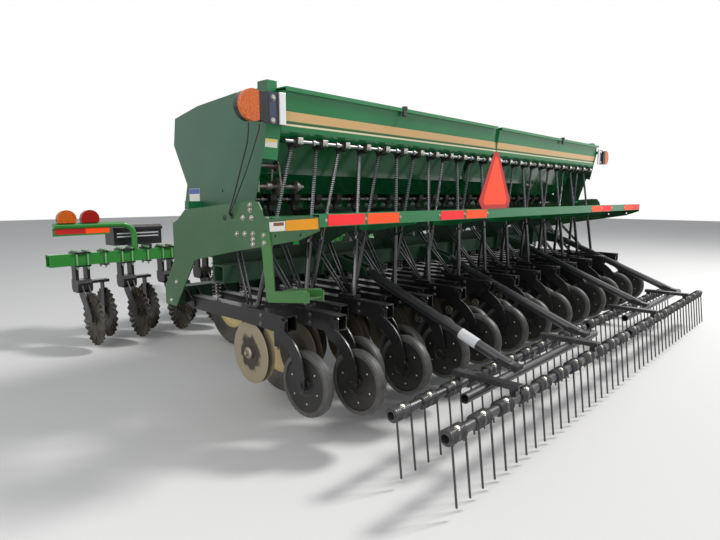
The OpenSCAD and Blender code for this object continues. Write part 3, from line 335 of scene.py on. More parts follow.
def turned(name, rings, sides, at=(0.0, 0.0, 0.0), along="Z", hollow=False):
    """A part turned from rings of (radius, height), closed at both ends, or round a bore."""
    let_go()
    bpy.ops.mesh.primitive_circle_add(vertices=sides, radius=rings[0][0], location=(0.0, 0.0, rings[0][1]),
                                      fill_type="NOTHING" if hollow else "NGON")
    piece = bpy.context.object
    bpy.ops.object.mode_set(mode="EDIT")
    bpy.ops.mesh.select_all(action="SELECT")
    for (r0, z0), (r1, z1) in zip(rings, rings[1:]):
        bpy.ops.mesh.extrude_region_move(TRANSFORM_OT_translate={"value": (0.0, 0.0, z1 - z0)})
        bpy.ops.transform.resize(value=(r1 / r0, r1 / r0, 1.0), center_override=(0.0, 0.0, z1))
    if hollow:
        bpy.ops.mesh.select_all(action="DESELECT")
        bpy.ops.mesh.select_non_manifold()
        bpy.ops.mesh.bridge_edge_loops()
    bpy.ops.object.mode_set(mode="OBJECT")
    bpy.ops.object.transform_apply(location=True, rotation=True, scale=True)
    turn = Matrix.Rotation(math.radians(90), 4, "Y") if along == "X" else Matrix.Identity(4)
    piece.data.transform(Matrix.Translation(at) @ turn)
    return settle(piece, name)


def bolt_head(name, size, height, washer):
    """A hex head with its corners turned off, standing on a washer and pointing along +Z."""
    head = turned(name, [(size * 0.55, 0.0015), (size * 0.55, height * 0.82), (size * 0.46, height)], 6)
    ring = turned(name + "_washer", [(washer, 0.0), (washer, 0.0011), (washer * 0.94, 0.0016)], 12)
    return joined([head, ring], name)


def facing(point, outward):
    """Turns a piece made along +Z to point outward from a point."""
    turn = Vector((0.0, 0.0, 1.0)).rotation_difference(Vector(outward)).to_matrix().to_4x4()
    return Matrix.Translation(point) @ turn


hands = (-1, 1)
plate_face = 2.3038
plate_bolts = [
    (-1.8432, 1.2283), (-1.8430, 1.2051), (-1.7800, 1.1652), (-1.8537, 1.1661), (-1.7248, 1.0790),
    (-1.7932, 1.0832), (-1.8618, 1.0854), (-1.8606, 1.0588), (-1.8595, 1.0337), (-1.0800, 0.7600),
    (-1.0100, 0.6400)]
heads = [facing((side * plate_face, y, z), (side, 0.0, 0.0)) for side in hands for y, z in plate_bolts]
plate_heads = set_out(bolt_head("end_plate_bolts", 0.020, 0.009, 0.015), heads, "end_plate_bolts")
finish(plate_heads, zinc)
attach(plate_heads, "drill")


# End plates: 8 mm plate cut to the outline that the left side shows, with its lower edge
# rising to the rear. Holes are drilled for the lamp leads, a spare grommet beside them and
# two small bolts, and rubber grommets line the first two.
def sheet(name, corners, thickness, skin):
    """A sheet cut to its corners, which are listed in order round its outline."""
    let_go()
    bpy.ops.mesh.primitive_circle_add(vertices=len(corners), radius=0.1, fill_type="NGON")
    piece = bpy.context.object
    for corner, at in zip(piece.data.vertices, corners):
        corner.co = at
    body = piece.modifiers.new("Sheet", "SOLIDIFY")
    body.thickness = thickness
    body.offset = 0.0
    bpy.ops.object.modifier_apply(modifier="Sheet")
    finish(settle(piece, name), skin)
    return piece


plate_green = weathered(
    "End plate enamel", srgb(36, 84, 44), srgb(52, 98, 56), dust=0.22, gloss=0.34, coat=0.15)
plate_thick = 0.008
plate_edge = [
    (-1.196, 1.188), (-1.125, 1.137), (-1.065, 1.115), (-1.065, 0.899), (-0.938, 0.720), (-0.938, 0.610),
    (-1.060, 0.610), (-1.292, 0.905), (-1.332, 0.920), (-1.719, 0.992), (-1.933, 1.026), (-2.213, 1.074),
    (-2.342, 1.120), (-2.342, 1.183), (-2.216, 1.184), (-1.981, 1.163), (-1.940, 1.177), (-1.934, 1.208),
    (-1.906, 1.246), (-1.856, 1.250), (-1.211, 1.198)]
plate_holes = [(-1.683, 1.172, 0.022), (-1.6145, 1.161, 0.020), (-2.0381, 1.0854, 0.015),
               (-2.220, 1.0987, 0.015)]
grommet_places = [(-1.683, 1.170), (-1.6145, 1.161)]
cut_plates = []
for side in hands:
    middle = side * (plate_face - plate_thick / 2)
    plate = sheet("end_plate", [(middle, y, z) for y, z in plate_edge], plate_thick, plate_green)
    for y, z, width in plate_holes:
        bit = turned("drill_bit", [(width / 2, -0.02), (width / 2, 0.02)], 20, at=(middle, y, z), along="X")
        hole = plate.modifiers.new("Hole", "BOOLEAN")
        hole.operation = "DIFFERENCE"
        hole.object = bit
        let_go()
        bpy.context.view_layer.objects.active = plate
        bpy.ops.object.modifier_apply(modifier="Hole")
        bpy.data.objects.remove(bit)
    cut_plates.append(plate)
grommets = set_out(turned("grommet", [(0.0145, 0.0), (0.0145, 0.0025), (0.0110, 0.0045)], 18),
                   [facing((side * plate_face, y, z), (side, 0.0, 0.0)) for side in hands
                    for y, z in grommet_places], "grommets")
finish(grommets, lead_skin)
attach(grommets, "drill")
cut_plates = settle(joined(cut_plates, "cut_end_plates"), "cut_end_plates")
finish(cut_plates, plate_green)
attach(cut_plates, "drill")
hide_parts("end_plates")


# Seed boxes: sheet steel in bright green, with a tan band between a brown and a cream
# line along the small box's slanted back. The bands are painted by height. The main box is
# given a darker green as painted shade. A narrow lip closes the gap below the main box's apron.
def flat_bar(name, low, high, ease=0.0):
    """A plate or bar cut to size between two corners, its edges eased."""
    let_go()
    bpy.ops.mesh.primitive_cube_add(size=1.0, location=[(a + b) / 2 for a, b in zip(low, high)])
    piece = bpy.context.object
    piece.scale = [b - a for a, b in zip(low, high)]
    bpy.ops.object.transform_apply(location=True, rotation=True, scale=True)
    if ease:
        edges = piece.modifiers.new("Eased edges", "BEVEL")
        edges.width = ease
        edges.segments = 2
        bpy.ops.object.modifier_apply(modifier="Eased edges")
    return settle(piece, name)


box_green = weathered(
    "Box enamel", srgb(16, 116, 62), srgb(30, 130, 76), dust=0.08, edges=0.2, gloss=0.24, coat=0.3)
banded_green = box_green.copy()
banded_green.name = "Banded box enamel"
band_reach = 2.142
tree = banded_green.node_tree
at = parts(tree, added(tree, "TexCoord").outputs["Object"])
rearward = parts(tree, added(tree, "NewGeometry").outputs["Normal"])["Y"]
back = worked(tree, "MULTIPLY", worked(tree, "COMPARE", at["X"], 0.0, band_reach),
              worked(tree, "LESS_THAN", rearward, -0.6))
for low, high, colour in ((1.651, 1.697, srgb(222, 178, 122)), (1.6405, 1.6445, srgb(78, 44, 20)),
                          (1.627, 1.6365, srgb(240, 226, 190))):
    line = worked(tree, "COMPARE", at["Z"], (low + high) / 2, (high - low) / 2)
    painted_over(banded_green, worked(tree, "MULTIPLY", line, back), colour)
finish(nodes["small_seed_box"], banded_green)
# The main box's darker green is painted shade.
finish(nodes["seed_box"], weathered(
    "Box wall enamel, painted shade", srgb(8, 94, 50), srgb(16, 106, 60), dust=0.04, edges=0.2, gloss=0.08, coat=0.5))
lip = flat_bar("box_lip", (-2.130, -1.3190, 1.146), (2.130, -1.3150, 1.197))
finish(lip, dark_green)
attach(lip, "drill")


# Lids: folded sheet in the same green. A black over-centre latch of two steel parts holds
# each main lid at its rear edge.
for name in ("lid_left", "lid_right", "small_lid_left", "small_lid_right"):
    finish(nodes[name], box_green)
latch_skin = weathered("Black latch steel", srgb(34, 34, 36), srgb(52, 52, 54), edges=0.5, gloss=0.38)
lid_middle = 1.2024
latch_parts = []
for x in (-lid_middle, lid_middle):
    latch_parts += [
        flat_bar("latch_body", (x - 0.016, -1.956, 1.762), (x + 0.008, -1.938, 1.812), 0.003),
        flat_bar("latch_hook", (x - 0.010, -1.960, 1.802), (x + 0.014, -1.930, 1.824), 0.003)]
latches = joined(latch_parts, "lid_latches")
finish(latches, latch_skin)
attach(latches, "drill")


# Feed cups: black cast housings under both boxes, each small one with a square of plate and
# a zinc nut on its face. Both feed shafts are bright steel.
cup_black = weathered("Cup casting", srgb(20, 20, 22), srgb(44, 44, 44), edges=0.5, gloss=0.45, patch=9.0,
                      bare=(0.35, 0.34, 0.33))
bright_shaft = weathered("Bright shaft", srgb(150, 151, 152), srgb(124, 123, 120), dust=0.15, edges=0.0,
                         gloss=0.34, metal=1.0, patch=14.0, grain=220.0)
finish(nodes["feed_cups"], cup_black)
finish(nodes["small_feed_shaft"], bright_shaft)
finish(nodes["main_feed_shaft"], bright_shaft)
row_gap, rank_gap, cup_spread = 0.1905, 0.171, 0.9255
rows = [(k - 11.5) * row_gap for k in range(24)]
aheads = [rank_gap if k % 2 == 0 else 0.0 for k in range(24)]
cups = [x * cup_spread for x in rows]
to_rear = Matrix.Rotation(math.radians(90), 4, "X")
cup_faces = [Matrix.Translation((x, -1.9165, 1.552)) @ to_rear for x in cups]
cup_nuts = set_out(bolt_head("cup_nuts", 0.016, 0.010, 0.012), cup_faces, "cup_nuts")
cup_plates = set_out(flat_bar("cup_plates", (-0.017, -1.9175, 1.541), (0.017, -1.914, 1.573), 0.001),
                     [(x, 0.0, 0.0) for x in cups], "cup_plates")
cup_trim = joined([cup_plates, cup_nuts], "cup_plates_and_nuts")
finish(cup_trim, zinc)
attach(cup_trim, "drill")


# Seed tubes: ribbed rubber tubes from the small cups down to the openers. One tube is
# turned for each rank with a rib every 12 mm down to its plain lower part, and copied along
# each row's slant. Pale bands at the ribs' crests are painted highlights, and the black is
# darkened as painted shade.
# The rubber's near-black is partly painted shade.
tube_rubber = weathered(
    "Ribbed tube rubber", srgb(15, 16, 18), srgb(32, 34, 38), dust=0.08, edges=0.0, gloss=0.16, coat=0.6,
    patch=5.0, bump=0.15, dust_colour=(0.30, 0.29, 0.27))
# Pale bands on the rib crests above the plain lower part are painted highlights.
crest_gap, crest_share, crest_foot = 0.0118, 0.32, 1.115
tree = tube_rubber.node_tree
height = parts(tree, added(tree, "TexCoord").outputs["Object"])["Z"]
along = worked(tree, "FRACT", worked(tree, "MULTIPLY", height, 1 / crest_gap))
crest_glints = worked(tree, "MULTIPLY", worked(tree, "LESS_THAN", along, crest_share),
                worked(tree, "GREATER_THAN", height, crest_foot))
painted_over(tube_rubber, crest_glints, srgb(150, 153, 158))
rib_gap, core, crest, neck, sleeve = 0.012, 0.0095, 0.0117, 0.0105, 0.0145
tubes = []
for rank in (0, 1):
    pairs = [(Vector((cup_x, -1.840, 1.525)), Vector((x, ahead - 1.905, 0.690)))
             for x, cup_x, ahead in zip(rows[rank::2], cups[rank::2], aheads[rank::2])]
    longest = max((foot - top).length for top, foot in pairs)
    ribs = []
    for n in range(int(0.49 * longest / rib_gap)):
        ribs += [(core, n * rib_gap), (core, n * rib_gap + 0.006), (crest, n * rib_gap + 0.0075),
                 (crest, n * rib_gap + 0.0105)]
    ribs += [(neck, 0.495 * longest), (neck, 0.58 * longest), (sleeve, 0.60 * longest), (sleeve, longest)]
    one = turned("ribbed_tube", ribs, 8)
    places = [facing(top, foot - top) @ Matrix.Diagonal((1.0, 1.0, (foot - top).length / longest, 1.0))
              for top, foot in pairs]
    tubes.append(set_out(one, places, "ribbed_tubes"))
tubes = joined(tubes, "ribbed_seed_tubes")
finish(tubes, tube_rubber)
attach(tubes, "drill")
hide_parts("seed_tubes")


# Seed hoses: two smooth rubber hoses side by side from each main cup down to the opener,
# drawn as round curves with a slight belly.
# The hoses' near-black is partly painted shade under the machine.
hose_rubber = weathered(
    "Smooth hose rubber", srgb(14, 15, 18), srgb(32, 34, 38), dust=0.12, edges=0.0, gloss=0.34, patch=3.0,
    bump=0.1, dust_colour=(0.30, 0.29, 0.27))
hose_width, pair_gap, last_outlet = 0.0150, 0.023, 2.1097
hoses = []
for x, ahead in zip(rows, aheads):
    outlet_x = math.copysign(min(abs(x), last_outlet), x)
    for side in hands:
        top = Vector((outlet_x + side * pair_gap / 2, -1.365, 1.190))
        foot = Vector((x + side * pair_gap / 2, ahead - 1.835, 0.692))
        belly = (top + foot) / 2 + Vector((0.0, -0.006 * side, -0.004))
        line = eased([top, (top + belly) / 2, belly, (belly + foot) / 2, foot], 2)
        hoses.append(lead("seed_hose", line, hose_width, hose_rubber, roundness=1))
let_go()
for piece in hoses:
    piece.select_set(True)
bpy.context.view_layer.objects.active = hoses[0]
bpy.ops.object.convert(target="MESH")
hoses = settle(joined(hoses, "seed_hoses_in_pairs"), "seed_hoses_in_pairs")
hoses.data.shade_smooth()
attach(hoses, "drill")
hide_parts("seed_hoses")


# Chain drive: sprockets and shafts in worn, oily steel, with roller chain in two runs, each
# link a pair of plates on a pin.
oily_steel = weathered("Oily steel", srgb(150, 146, 138), srgb(92, 78, 62), dust=0.4, gloss=0.34, metal=0.9,
                       patch=16.0, grain=180.0, dust_colour=(0.10, 0.08, 0.06))
finish(nodes["chain_drive"], oily_steel)
link_pair = joined([flat_bar("link", (-0.006, -0.003, -0.007), (-0.0042, 0.003, 0.007), 0.0008),
                    flat_bar("link", (0.0042, -0.003, -0.007), (0.006, 0.003, 0.007), 0.0008),
                    turned("pin", [(0.0028, -0.0072), (0.0028, 0.0072)], 8, along="X")], "chain_links")
chain_x, chain_y, links = -2.0548, -1.740, 9
chain_at = []
for side in hands:
    low = Vector((chain_x, chain_y + side * 0.044, 1.331))
    high = Vector((chain_x, chain_y + side * 0.027, 1.437))
    chain_at += [facing(low.lerp(high, n / (links - 1)), high - low) for n in range(links)]
chain = set_out(link_pair, chain_at, "drive_chain")
finish(chain, oily_steel)
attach(chain, "drill")


# Walkboard: a green deck with round grip holes behind a rear beam that carries red and
# orange reflector strips, each held by a bolt at its ends.
def reflector(name, colour, painted_glow):
    """Honeycomb sheeting: the cells show as a fine pattern in colour and in a glow that is painted light.
    """
    faded = tuple(min(1.0, c * 1.10) for c in colour)
    skin = weathered(name, colour, faded, dust=0.05, edges=0.0, gloss=0.45, coat=0.1, patch=6.0)
    tree = skin.node_tree
    shader = tree.nodes["Principled BSDF"].inputs
    cells = added(tree, "TexVoronoi", {"Vector": added(tree, "TexCoord").outputs["Object"], "Scale": 190.0},
                  feature="DISTANCE_TO_EDGE")
    walls = added(tree, "MapRange", {"Value": cells.outputs["Distance"], "From Max": 0.09, "To Min": 0.82})
    shade = painted_over(skin, 1.0, walls.outputs["Result"], "MULTIPLY")
    # The emission is painted light: the sheeting glows though it is no lamp.
    tree.links.new(shade, shader["Emission Color"])
    shader["Emission Strength"].default_value = painted_glow
    return skin


# The last figure is each strip's painted glow.
red_strip = reflector("Red reflector", srgb(236, 28, 34), 0.22)
orange_strip = reflector("Orange reflector", srgb(250, 74, 6), 0.22)
finish(nodes["walkboard"], box_green)
beam_y = -2.3424
for name, skin, spans in (
    ("red_strips", red_strip, [(-2.246, -2.006), (-1.368, -1.130), (1.195, 1.440), (2.062, 2.290)]),
    ("orange_strips", orange_strip, [(-1.984, -1.744), (-1.104, -0.862), (0.945, 1.185), (1.810, 2.052)]),
):
    strips = joined([flat_bar(name, (low, beam_y - 0.0024, 1.141), (high, beam_y, 1.191), 0.0008)
                     for low, high in spans], name)
    finish(strips, skin)
    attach(strips, "drill")
beam_heads = [facing((x, beam_y, 1.166), (0.0, -1.0, 0.0)) for x in
              (-2.258, -1.995, -1.733, -1.380, -1.117, -0.851, 0.934, 1.190, 1.452, 1.799, 2.057)]
beam_bolts = set_out(bolt_head("beam_bolts", 0.012, 0.005, 0.009), beam_heads, "beam_bolts")
finish(beam_bolts, zinc)
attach(beam_bolts, "drill")


# Slow-vehicle triangle: orange sheeting with a darker red border on a steel plate, on a
# stay from the walkboard beam. The face carries no words.
# The sign's face and border get a painted glow.
sign_orange = reflector("Sign orange", srgb(248, 66, 22), 0.26)
finish(nodes["slow_sign"], reflector("Sign red border", srgb(190, 34, 30), 0.05))
sign_x, sign_y, sign_z = -0.770, -2.3486, 1.196
sign_corners = [(sign_x + x, sign_y, sign_z + z) for x, z in (
    (-0.128, 0.026), (0.128, 0.026), (0.150, 0.052), (0.016, 0.320), (-0.016, 0.320), (-0.150, 0.052))]
sign_face = sheet("sign_face", sign_corners, 0.0012, sign_orange)
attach(sign_face, "drill")


# Reflectors and labels: an amber strip and a blank white label with a brown band on each
# lower end plate, one with a blue band on each panel, and one with a yellow band on each
# panel's rear flange. All are film stuck on the enamel.
# The amber strip gets a painted glow.
amber_strip = reflector("Amber reflector", srgb(222, 146, 2), 0.06)


def film(name, colour, faded):
    return weathered(name, colour, faded, dust=0.10, edges=0.0, gloss=0.4)


label_white = film("Label white", srgb(224, 222, 214), srgb(206, 202, 192))
label_brown = film("Label brown", srgb(122, 66, 44), srgb(140, 84, 62))
label_yellow = film("Label yellow", srgb(238, 200, 92), srgb(226, 186, 96))
label_blue = film("Label blue", srgb(66, 92, 158), srgb(92, 116, 172))
for name, skin, out, corners in (
    ("end_reflectors", amber_strip, 2.3043,
     [(-2.1205, 1.161), (-2.339, 1.177), (-2.3415, 1.130), (-2.1191, 1.1122)]),
    ("plate_labels", label_white, 2.3043,
     [(-1.995, 1.1487), (-2.1155, 1.1575), (-2.1145, 1.1130), (-1.9988, 1.1032)]),
    ("plate_label_bands", label_brown, 2.3049,
     [(-2.028, 1.147), (-2.105, 1.1525), (-2.1045, 1.137), (-2.029, 1.131)]),
    ("panel_labels", label_white, 2.2003,
     [(-1.0902, 1.3171), (-1.2055, 1.3189), (-1.2045, 1.2194), (-1.0905, 1.2152)]),
    ("panel_label_bands", label_blue, 2.2009,
     [(-1.0922, 1.3155), (-1.2035, 1.3172), (-1.2033, 1.2880), (-1.0924, 1.2862)]),
):
    pair = [sheet(name, [(side * out, y, z) for y, z in corners], 0.0009, skin) for side in hands]
    pair = joined(pair, name)
    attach(pair, "drill")
off_flange = Vector((0.72, -0.68, -0.14))
for name, skin, off, corners in (
    ("flange_labels", label_white, 0.0008,
     [(2.1962, -1.841, 1.5629), (2.1543, -1.8841, 1.5562),
      (2.1525, -1.8773, 1.5147), (2.1954, -1.8334, 1.522)]),
    ("flange_label_bands", label_yellow, 0.0016,
     [(2.1945, -1.8418, 1.5615), (2.1560, -1.8814, 1.5553),
      (2.1554, -1.8790, 1.5413), (2.1942, -1.8392, 1.5478)]),
):
    raised = [Vector(corner) + off * off_flange for corner in corners]
    pair = [sheet(name, [(side * p.x, p.y, p.z) for p in raised], 0.0007, skin) for side in hands]
    pair = joined(pair, name)
    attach(pair, "drill")


# Step: a laser-cut strap and an inner cheek with a toothed tread that rises a little to the
# rear, welded to a floor strip, in the same green, dusty where boots land. Two zinc bolts
# hold the strap to the left end plate.
step_enamel = weathered("Step enamel", srgb(40, 100, 38), srgb(56, 116, 50), edges=0.5, coat=0.15)
step_out, step_in, step_steel = -2.3068, -2.2168, 0.006
tooth_gap, tooth_drop, step_rear, step_top = 0.0128, 0.00164, -2.262, 0.8435
teeth = []
for n in range(18):
    y, z = step_rear + n * tooth_gap, step_top - n * tooth_drop
    teeth += [(y, z - 0.004), (y + 0.0030, z + 0.004), (y + 0.0062, z + 0.004), (y + 0.0092, z - 0.0045)]
tread = [(-1.985, 0.7555), (-2.278, 0.7915), (-2.279, 0.8405)] + teeth
strap = [(-2.0312, 0.814), (-2.012, 1.036), (-2.000, 1.100), (-1.930, 1.100), (-1.9368, 1.026),
         (-1.966, 0.775), (-1.972, 0.7600)]
cheek_end = [(-2.0312, 0.814), (-1.985, 0.808)]
step_floor = [(-2.3040, -1.992, 0.774), (-2.3040, -2.276, 0.809),
              (-2.2196, -2.276, 0.809), (-2.2196, -1.992, 0.774)]
step_piece = joined([
    sheet("step_strap", [(step_out, y, z) for y, z in tread + strap], step_steel, step_enamel),
    sheet("step_cheek", [(step_in, y, z) for y, z in tread + cheek_end], step_steel, step_enamel),
    sheet("step_floor", step_floor, 0.005, step_enamel),
], "cut_step")
finish(step_piece, step_enamel)
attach(step_piece, "drill")
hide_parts("step")
step_bolts = set_out(bolt_head("step_bolts", 0.020, 0.009, 0.014),
                     [facing((step_out - step_steel / 2, y, z), (-1.0, 0.0, 0.0)) for y, z in
                      ((-1.958, 1.0828), (-1.960, 1.0458))], "step_bolts")
finish(step_bolts, zinc)
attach(step_bolts, "drill")


# Openers: black welded arms with a side plate and boot. Two dull bolts go through each
# side plate. The black is darkened as painted shade, and the pale edges, the open tube ends'
# rims among them, are painted highlights as well as rubbed wear.
# The near-black base is painted shade; the pale bare colour at the edges is painted highlight as well as
# wear.
arm_black = weathered("Opener black", srgb(7, 8, 11), srgb(19, 20, 23), dust=0.09, edges=0.9, coat=0.1,
                      bare=(0.42, 0.41, 0.40))
dull_steel = weathered("Dull bolt steel", srgb(92, 92, 90), srgb(128, 126, 122), edges=0.6, gloss=0.34,
                       metal=0.8, patch=20.0, bare=(0.7, 0.7, 0.7))
finish(nodes["opener_arms"], arm_black)
side_plate = 0.0381
opener_heads = [facing((x - side_plate, ahead - 1.980, z), (-1.0, 0.0, 0.0))
                for x, ahead in zip(rows, aheads) for z in (0.652, 0.608)]
opener_bolts = set_out(bolt_head("opener_bolts", 0.018, 0.008, 0.013), opener_heads, "opener_bolts")
finish(opener_bolts, dull_steel)
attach(opener_bolts, "drill")


# Opener blades: hardened discs with soil-worn faces: a pale outer band round a ragged dark
# middle. The band is at full strength only on the outermost row as painted light, and faint
# on the others, whose darker brown is painted shade. A hub cap with a nut sits on each outside face.
disc_wear_and_light = weathered(
    "Soil-worn disc, painted light and shade", srgb(38, 32, 27), srgb(64, 56, 47), dust=0.12, edges=0.0, gloss=0.40, metal=0.2,
    patch=6.0, grain=120.0, bump=0.35, dust_colour=(0.36, 0.30, 0.23))
axle_y, axle_z = -1.845, 0.419
tree = disc_wear_and_light.node_tree
place = added(tree, "TexCoord").outputs["Object"]
at = parts(tree, place)
row = worked(tree, "FLOOR", worked(tree, "MULTIPLY_ADD", at["X"], 1 / row_gap, 12.0))
rank = worked(tree, "MODULO", row, 2.0)
rank_y = worked(tree, "MULTIPLY_ADD", rank, -rank_gap, axle_y + rank_gap)
axle = added(tree, "CombineXYZ", {"Y": rank_y, "Z": axle_z})
flat = added(tree, "CombineXYZ", {"Y": at["Y"], "Z": at["Z"]})
away = added(tree, "VectorMath", {0: flat.outputs[0], 1: axle.outputs[0]}, operation="DISTANCE")
blots = added(tree, "TexNoise", {"Vector": place, "Scale": 28.0, "Detail": 7.0, "Roughness": 0.7})
ragged = worked(tree, "MULTIPLY_ADD", blots.outputs["Fac"], 0.110, away.outputs["Value"])
rings = added(tree, "ValToRGB", {"Fac": ragged})
rings.color_ramp.elements[0].position = 0.140
rings.color_ramp.elements[1].position = 0.158
# Full band only on the outermost row, as painted light; the other rows keep 0.22 of it, as painted shade.
left_end = {"Value": at["X"], "From Min": -2.13, "From Max": -2.15, "To Min": 0.22}
outermost = added(tree, "MapRange", left_end)
pale = worked(tree, "MULTIPLY", rings.outputs["Color"], outermost.outputs["Result"])
painted_over(disc_wear_and_light, pale, srgb(150, 139, 114))
finish(nodes["opener_discs"], disc_wear_and_light)
hub_cap = turned("hub_caps", [(0.034, 0.0), (0.034, 0.005), (0.027, 0.011), (0.020, 0.013)], 14)
hub_nut = turned("hub_nuts", [(0.0135, 0.013), (0.0135, 0.024), (0.011, 0.026)], 6)
toe_in, blade_gap, hub_lift = math.radians(3.5), 0.014, 0.0115
hub_at = []
for x, ahead in zip(rows, aheads):
    for side in hands:
        out = Vector((side * math.cos(toe_in), math.sin(toe_in), 0.0))
        hub_at.append(facing(Vector((x + side * blade_gap, ahead + axle_y, axle_z)) + out * hub_lift, out))
hubs = set_out(joined([hub_cap, hub_nut], "disc_hub_caps"), hub_at, "disc_hub_caps")
finish(hubs, weathered("Worn hub steel", srgb(120, 112, 100), srgb(172, 164, 150), dust=0.5, gloss=0.36,
                       metal=0.8, patch=18.0, grain=140.0))
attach(hubs, "drill")


# Down-pressure springs: black wire wound in nine turns round a zinc rod, between a seat
# plate and a cap, with a jam nut near the top of the rod.
def wound(name, radius, wire, turns, pitch):
    """A helix of round wire along +Z, made by a screw sweep of its cross-section."""
    sides, steps = 6, 14
    let_go()
    bpy.ops.mesh.primitive_circle_add(vertices=sides, radius=wire / 2, location=(radius, 0.0, 0.0),
                                      rotation=(math.radians(90), 0.0, 0.0))
    piece = bpy.context.object
    bpy.ops.object.transform_apply(location=True, rotation=True, scale=True)
    sweep = piece.modifiers.new("Winding", "SCREW")
    sweep.axis = "Z"
    sweep.angle = math.tau
    sweep.screw_offset = pitch
    sweep.iterations = turns
    sweep.steps = steps
    sweep.render_steps = steps
    sweep.use_merge_vertices = False
    bpy.ops.object.modifier_apply(modifier="Winding")
    bpy.ops.object.mode_set(mode="EDIT")
    bpy.ops.mesh.select_all(action="SELECT")
    bpy.ops.mesh.fill_holes(sides=sides)
    bpy.ops.object.mode_set(mode="OBJECT")
    settle(piece, name)
    piece.data.shade_smooth()
    return piece


spring_black = weathered(
    "Spring black", srgb(18, 18, 20), srgb(40, 40, 42), dust=0.25, edges=0.2, gloss=0.26, coat=0.4)
spring_at = [(x, -1.335, 0.672) for x in rows]
spring = wound("down_spring", 0.0215, 0.009, 9, 0.0200)
spring.data.transform(Matrix.Translation((0.0, 0.0, 0.026)))
springs = set_out(spring, spring_at, "down_pressure_springs")
finish(springs, spring_black)
rod_parts = [turned("rod", [(0.0065, 0.0), (0.0065, 0.309)], 10),
             turned("seat", [(0.026, 0.016), (0.026, 0.0215)], 16),
             turned("cap", [(0.0265, 0.2095), (0.0265, 0.216)], 16),
             turned("nut", [(0.0115, 0.278), (0.0115, 0.290)], 6)]
rods = set_out(joined(rod_parts, "spring_rods"), spring_at, "spring_rods_and_seats")
finish(rods, zinc)
for piece, slot in ((springs, "black"), (rods, "steel")):
    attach(piece, "drill")
    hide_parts("down_springs")


# Press wheels: a dished black face with six zinc bolts inside a grey crowned rubber band,
# on curved black arms whose pale edges are painted highlights as well as rubbed wear. The
# face's near-black is darkened as painted shade. The band shows where the radius
# from the wheel's own axis passes 140 mm.
finish(nodes["press_arms"], arm_black)
axle_z, band_radius, stud_circle, face_out = 0.346, 0.1405, 0.098, 0.0206
for node, y, first in (("front_press_wheels", -2.129, 0), ("rear_press_wheels", -2.300, 1)):
    # The face's near-black is painted shade.
    wheel_skin = weathered("Press wheel " + node[:5], srgb(6, 6, 8), srgb(15, 16, 18), dust=0.08, edges=0.2,
                           gloss=0.42, patch=4.0)
    tree = wheel_skin.node_tree
    place = added(tree, "TexCoord").outputs["Object"]
    at = parts(tree, place)
    flat = added(tree, "CombineXYZ", {"Y": at["Y"], "Z": at["Z"]})
    away = added(tree, "VectorMath", {0: flat.outputs[0], 1: (0.0, y, axle_z)}, operation="DISTANCE")
    band = added(tree, "MapRange", {"Value": away.outputs["Value"], "From Min": band_radius - 0.0015,
                                    "From Max": band_radius + 0.0015})
    grit = added(tree, "TexNoise", {"Vector": place, "Scale": 26.0, "Detail": 8.0})
    rubber = mixed(tree, grit.outputs["Fac"], srgb(34, 34, 35), srgb(92, 90, 87))
    painted_over(wheel_skin, band.outputs["Result"], rubber)
    finish(nodes[node], wheel_skin)
    stud_at = []
    for x in rows[first::2]:
        for side in hands:
            for n in range(6):
                turn = n * math.tau / 6 + 0.35
                stud_at.append(facing((x + side * face_out, y + stud_circle * math.cos(turn),
                                       axle_z + stud_circle * math.sin(turn)), (side, 0.0, 0.0)))
    studs = set_out(turned("stud", [(0.0055, 0.0), (0.0055, 0.003), (0.003, 0.0045)], 8), stud_at,
                    node[:5] + "_press_wheel_bolts")
    finish(studs, zinc)
    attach(studs, node)


# Gauge and hitch wheels: cream steel rims with a dished centre and five wheel nuts, in
# ribbed black tyres. Tyre and rim are turned, the tread's ribs cut by the profile.
rim_cream = weathered(
    "Cream rim", srgb(214, 190, 128), srgb(196, 178, 132), dust=0.4, edges=0.4, gloss=0.34, patch=6.0,
    bare=(0.35, 0.18, 0.09))
tyre_black = weathered(
    "Tyre rubber", srgb(24, 24, 25), srgb(48, 47, 46), dust=0.4, edges=0.0, gloss=0.55, patch=5.0,
    grain=120.0, bump=0.25)


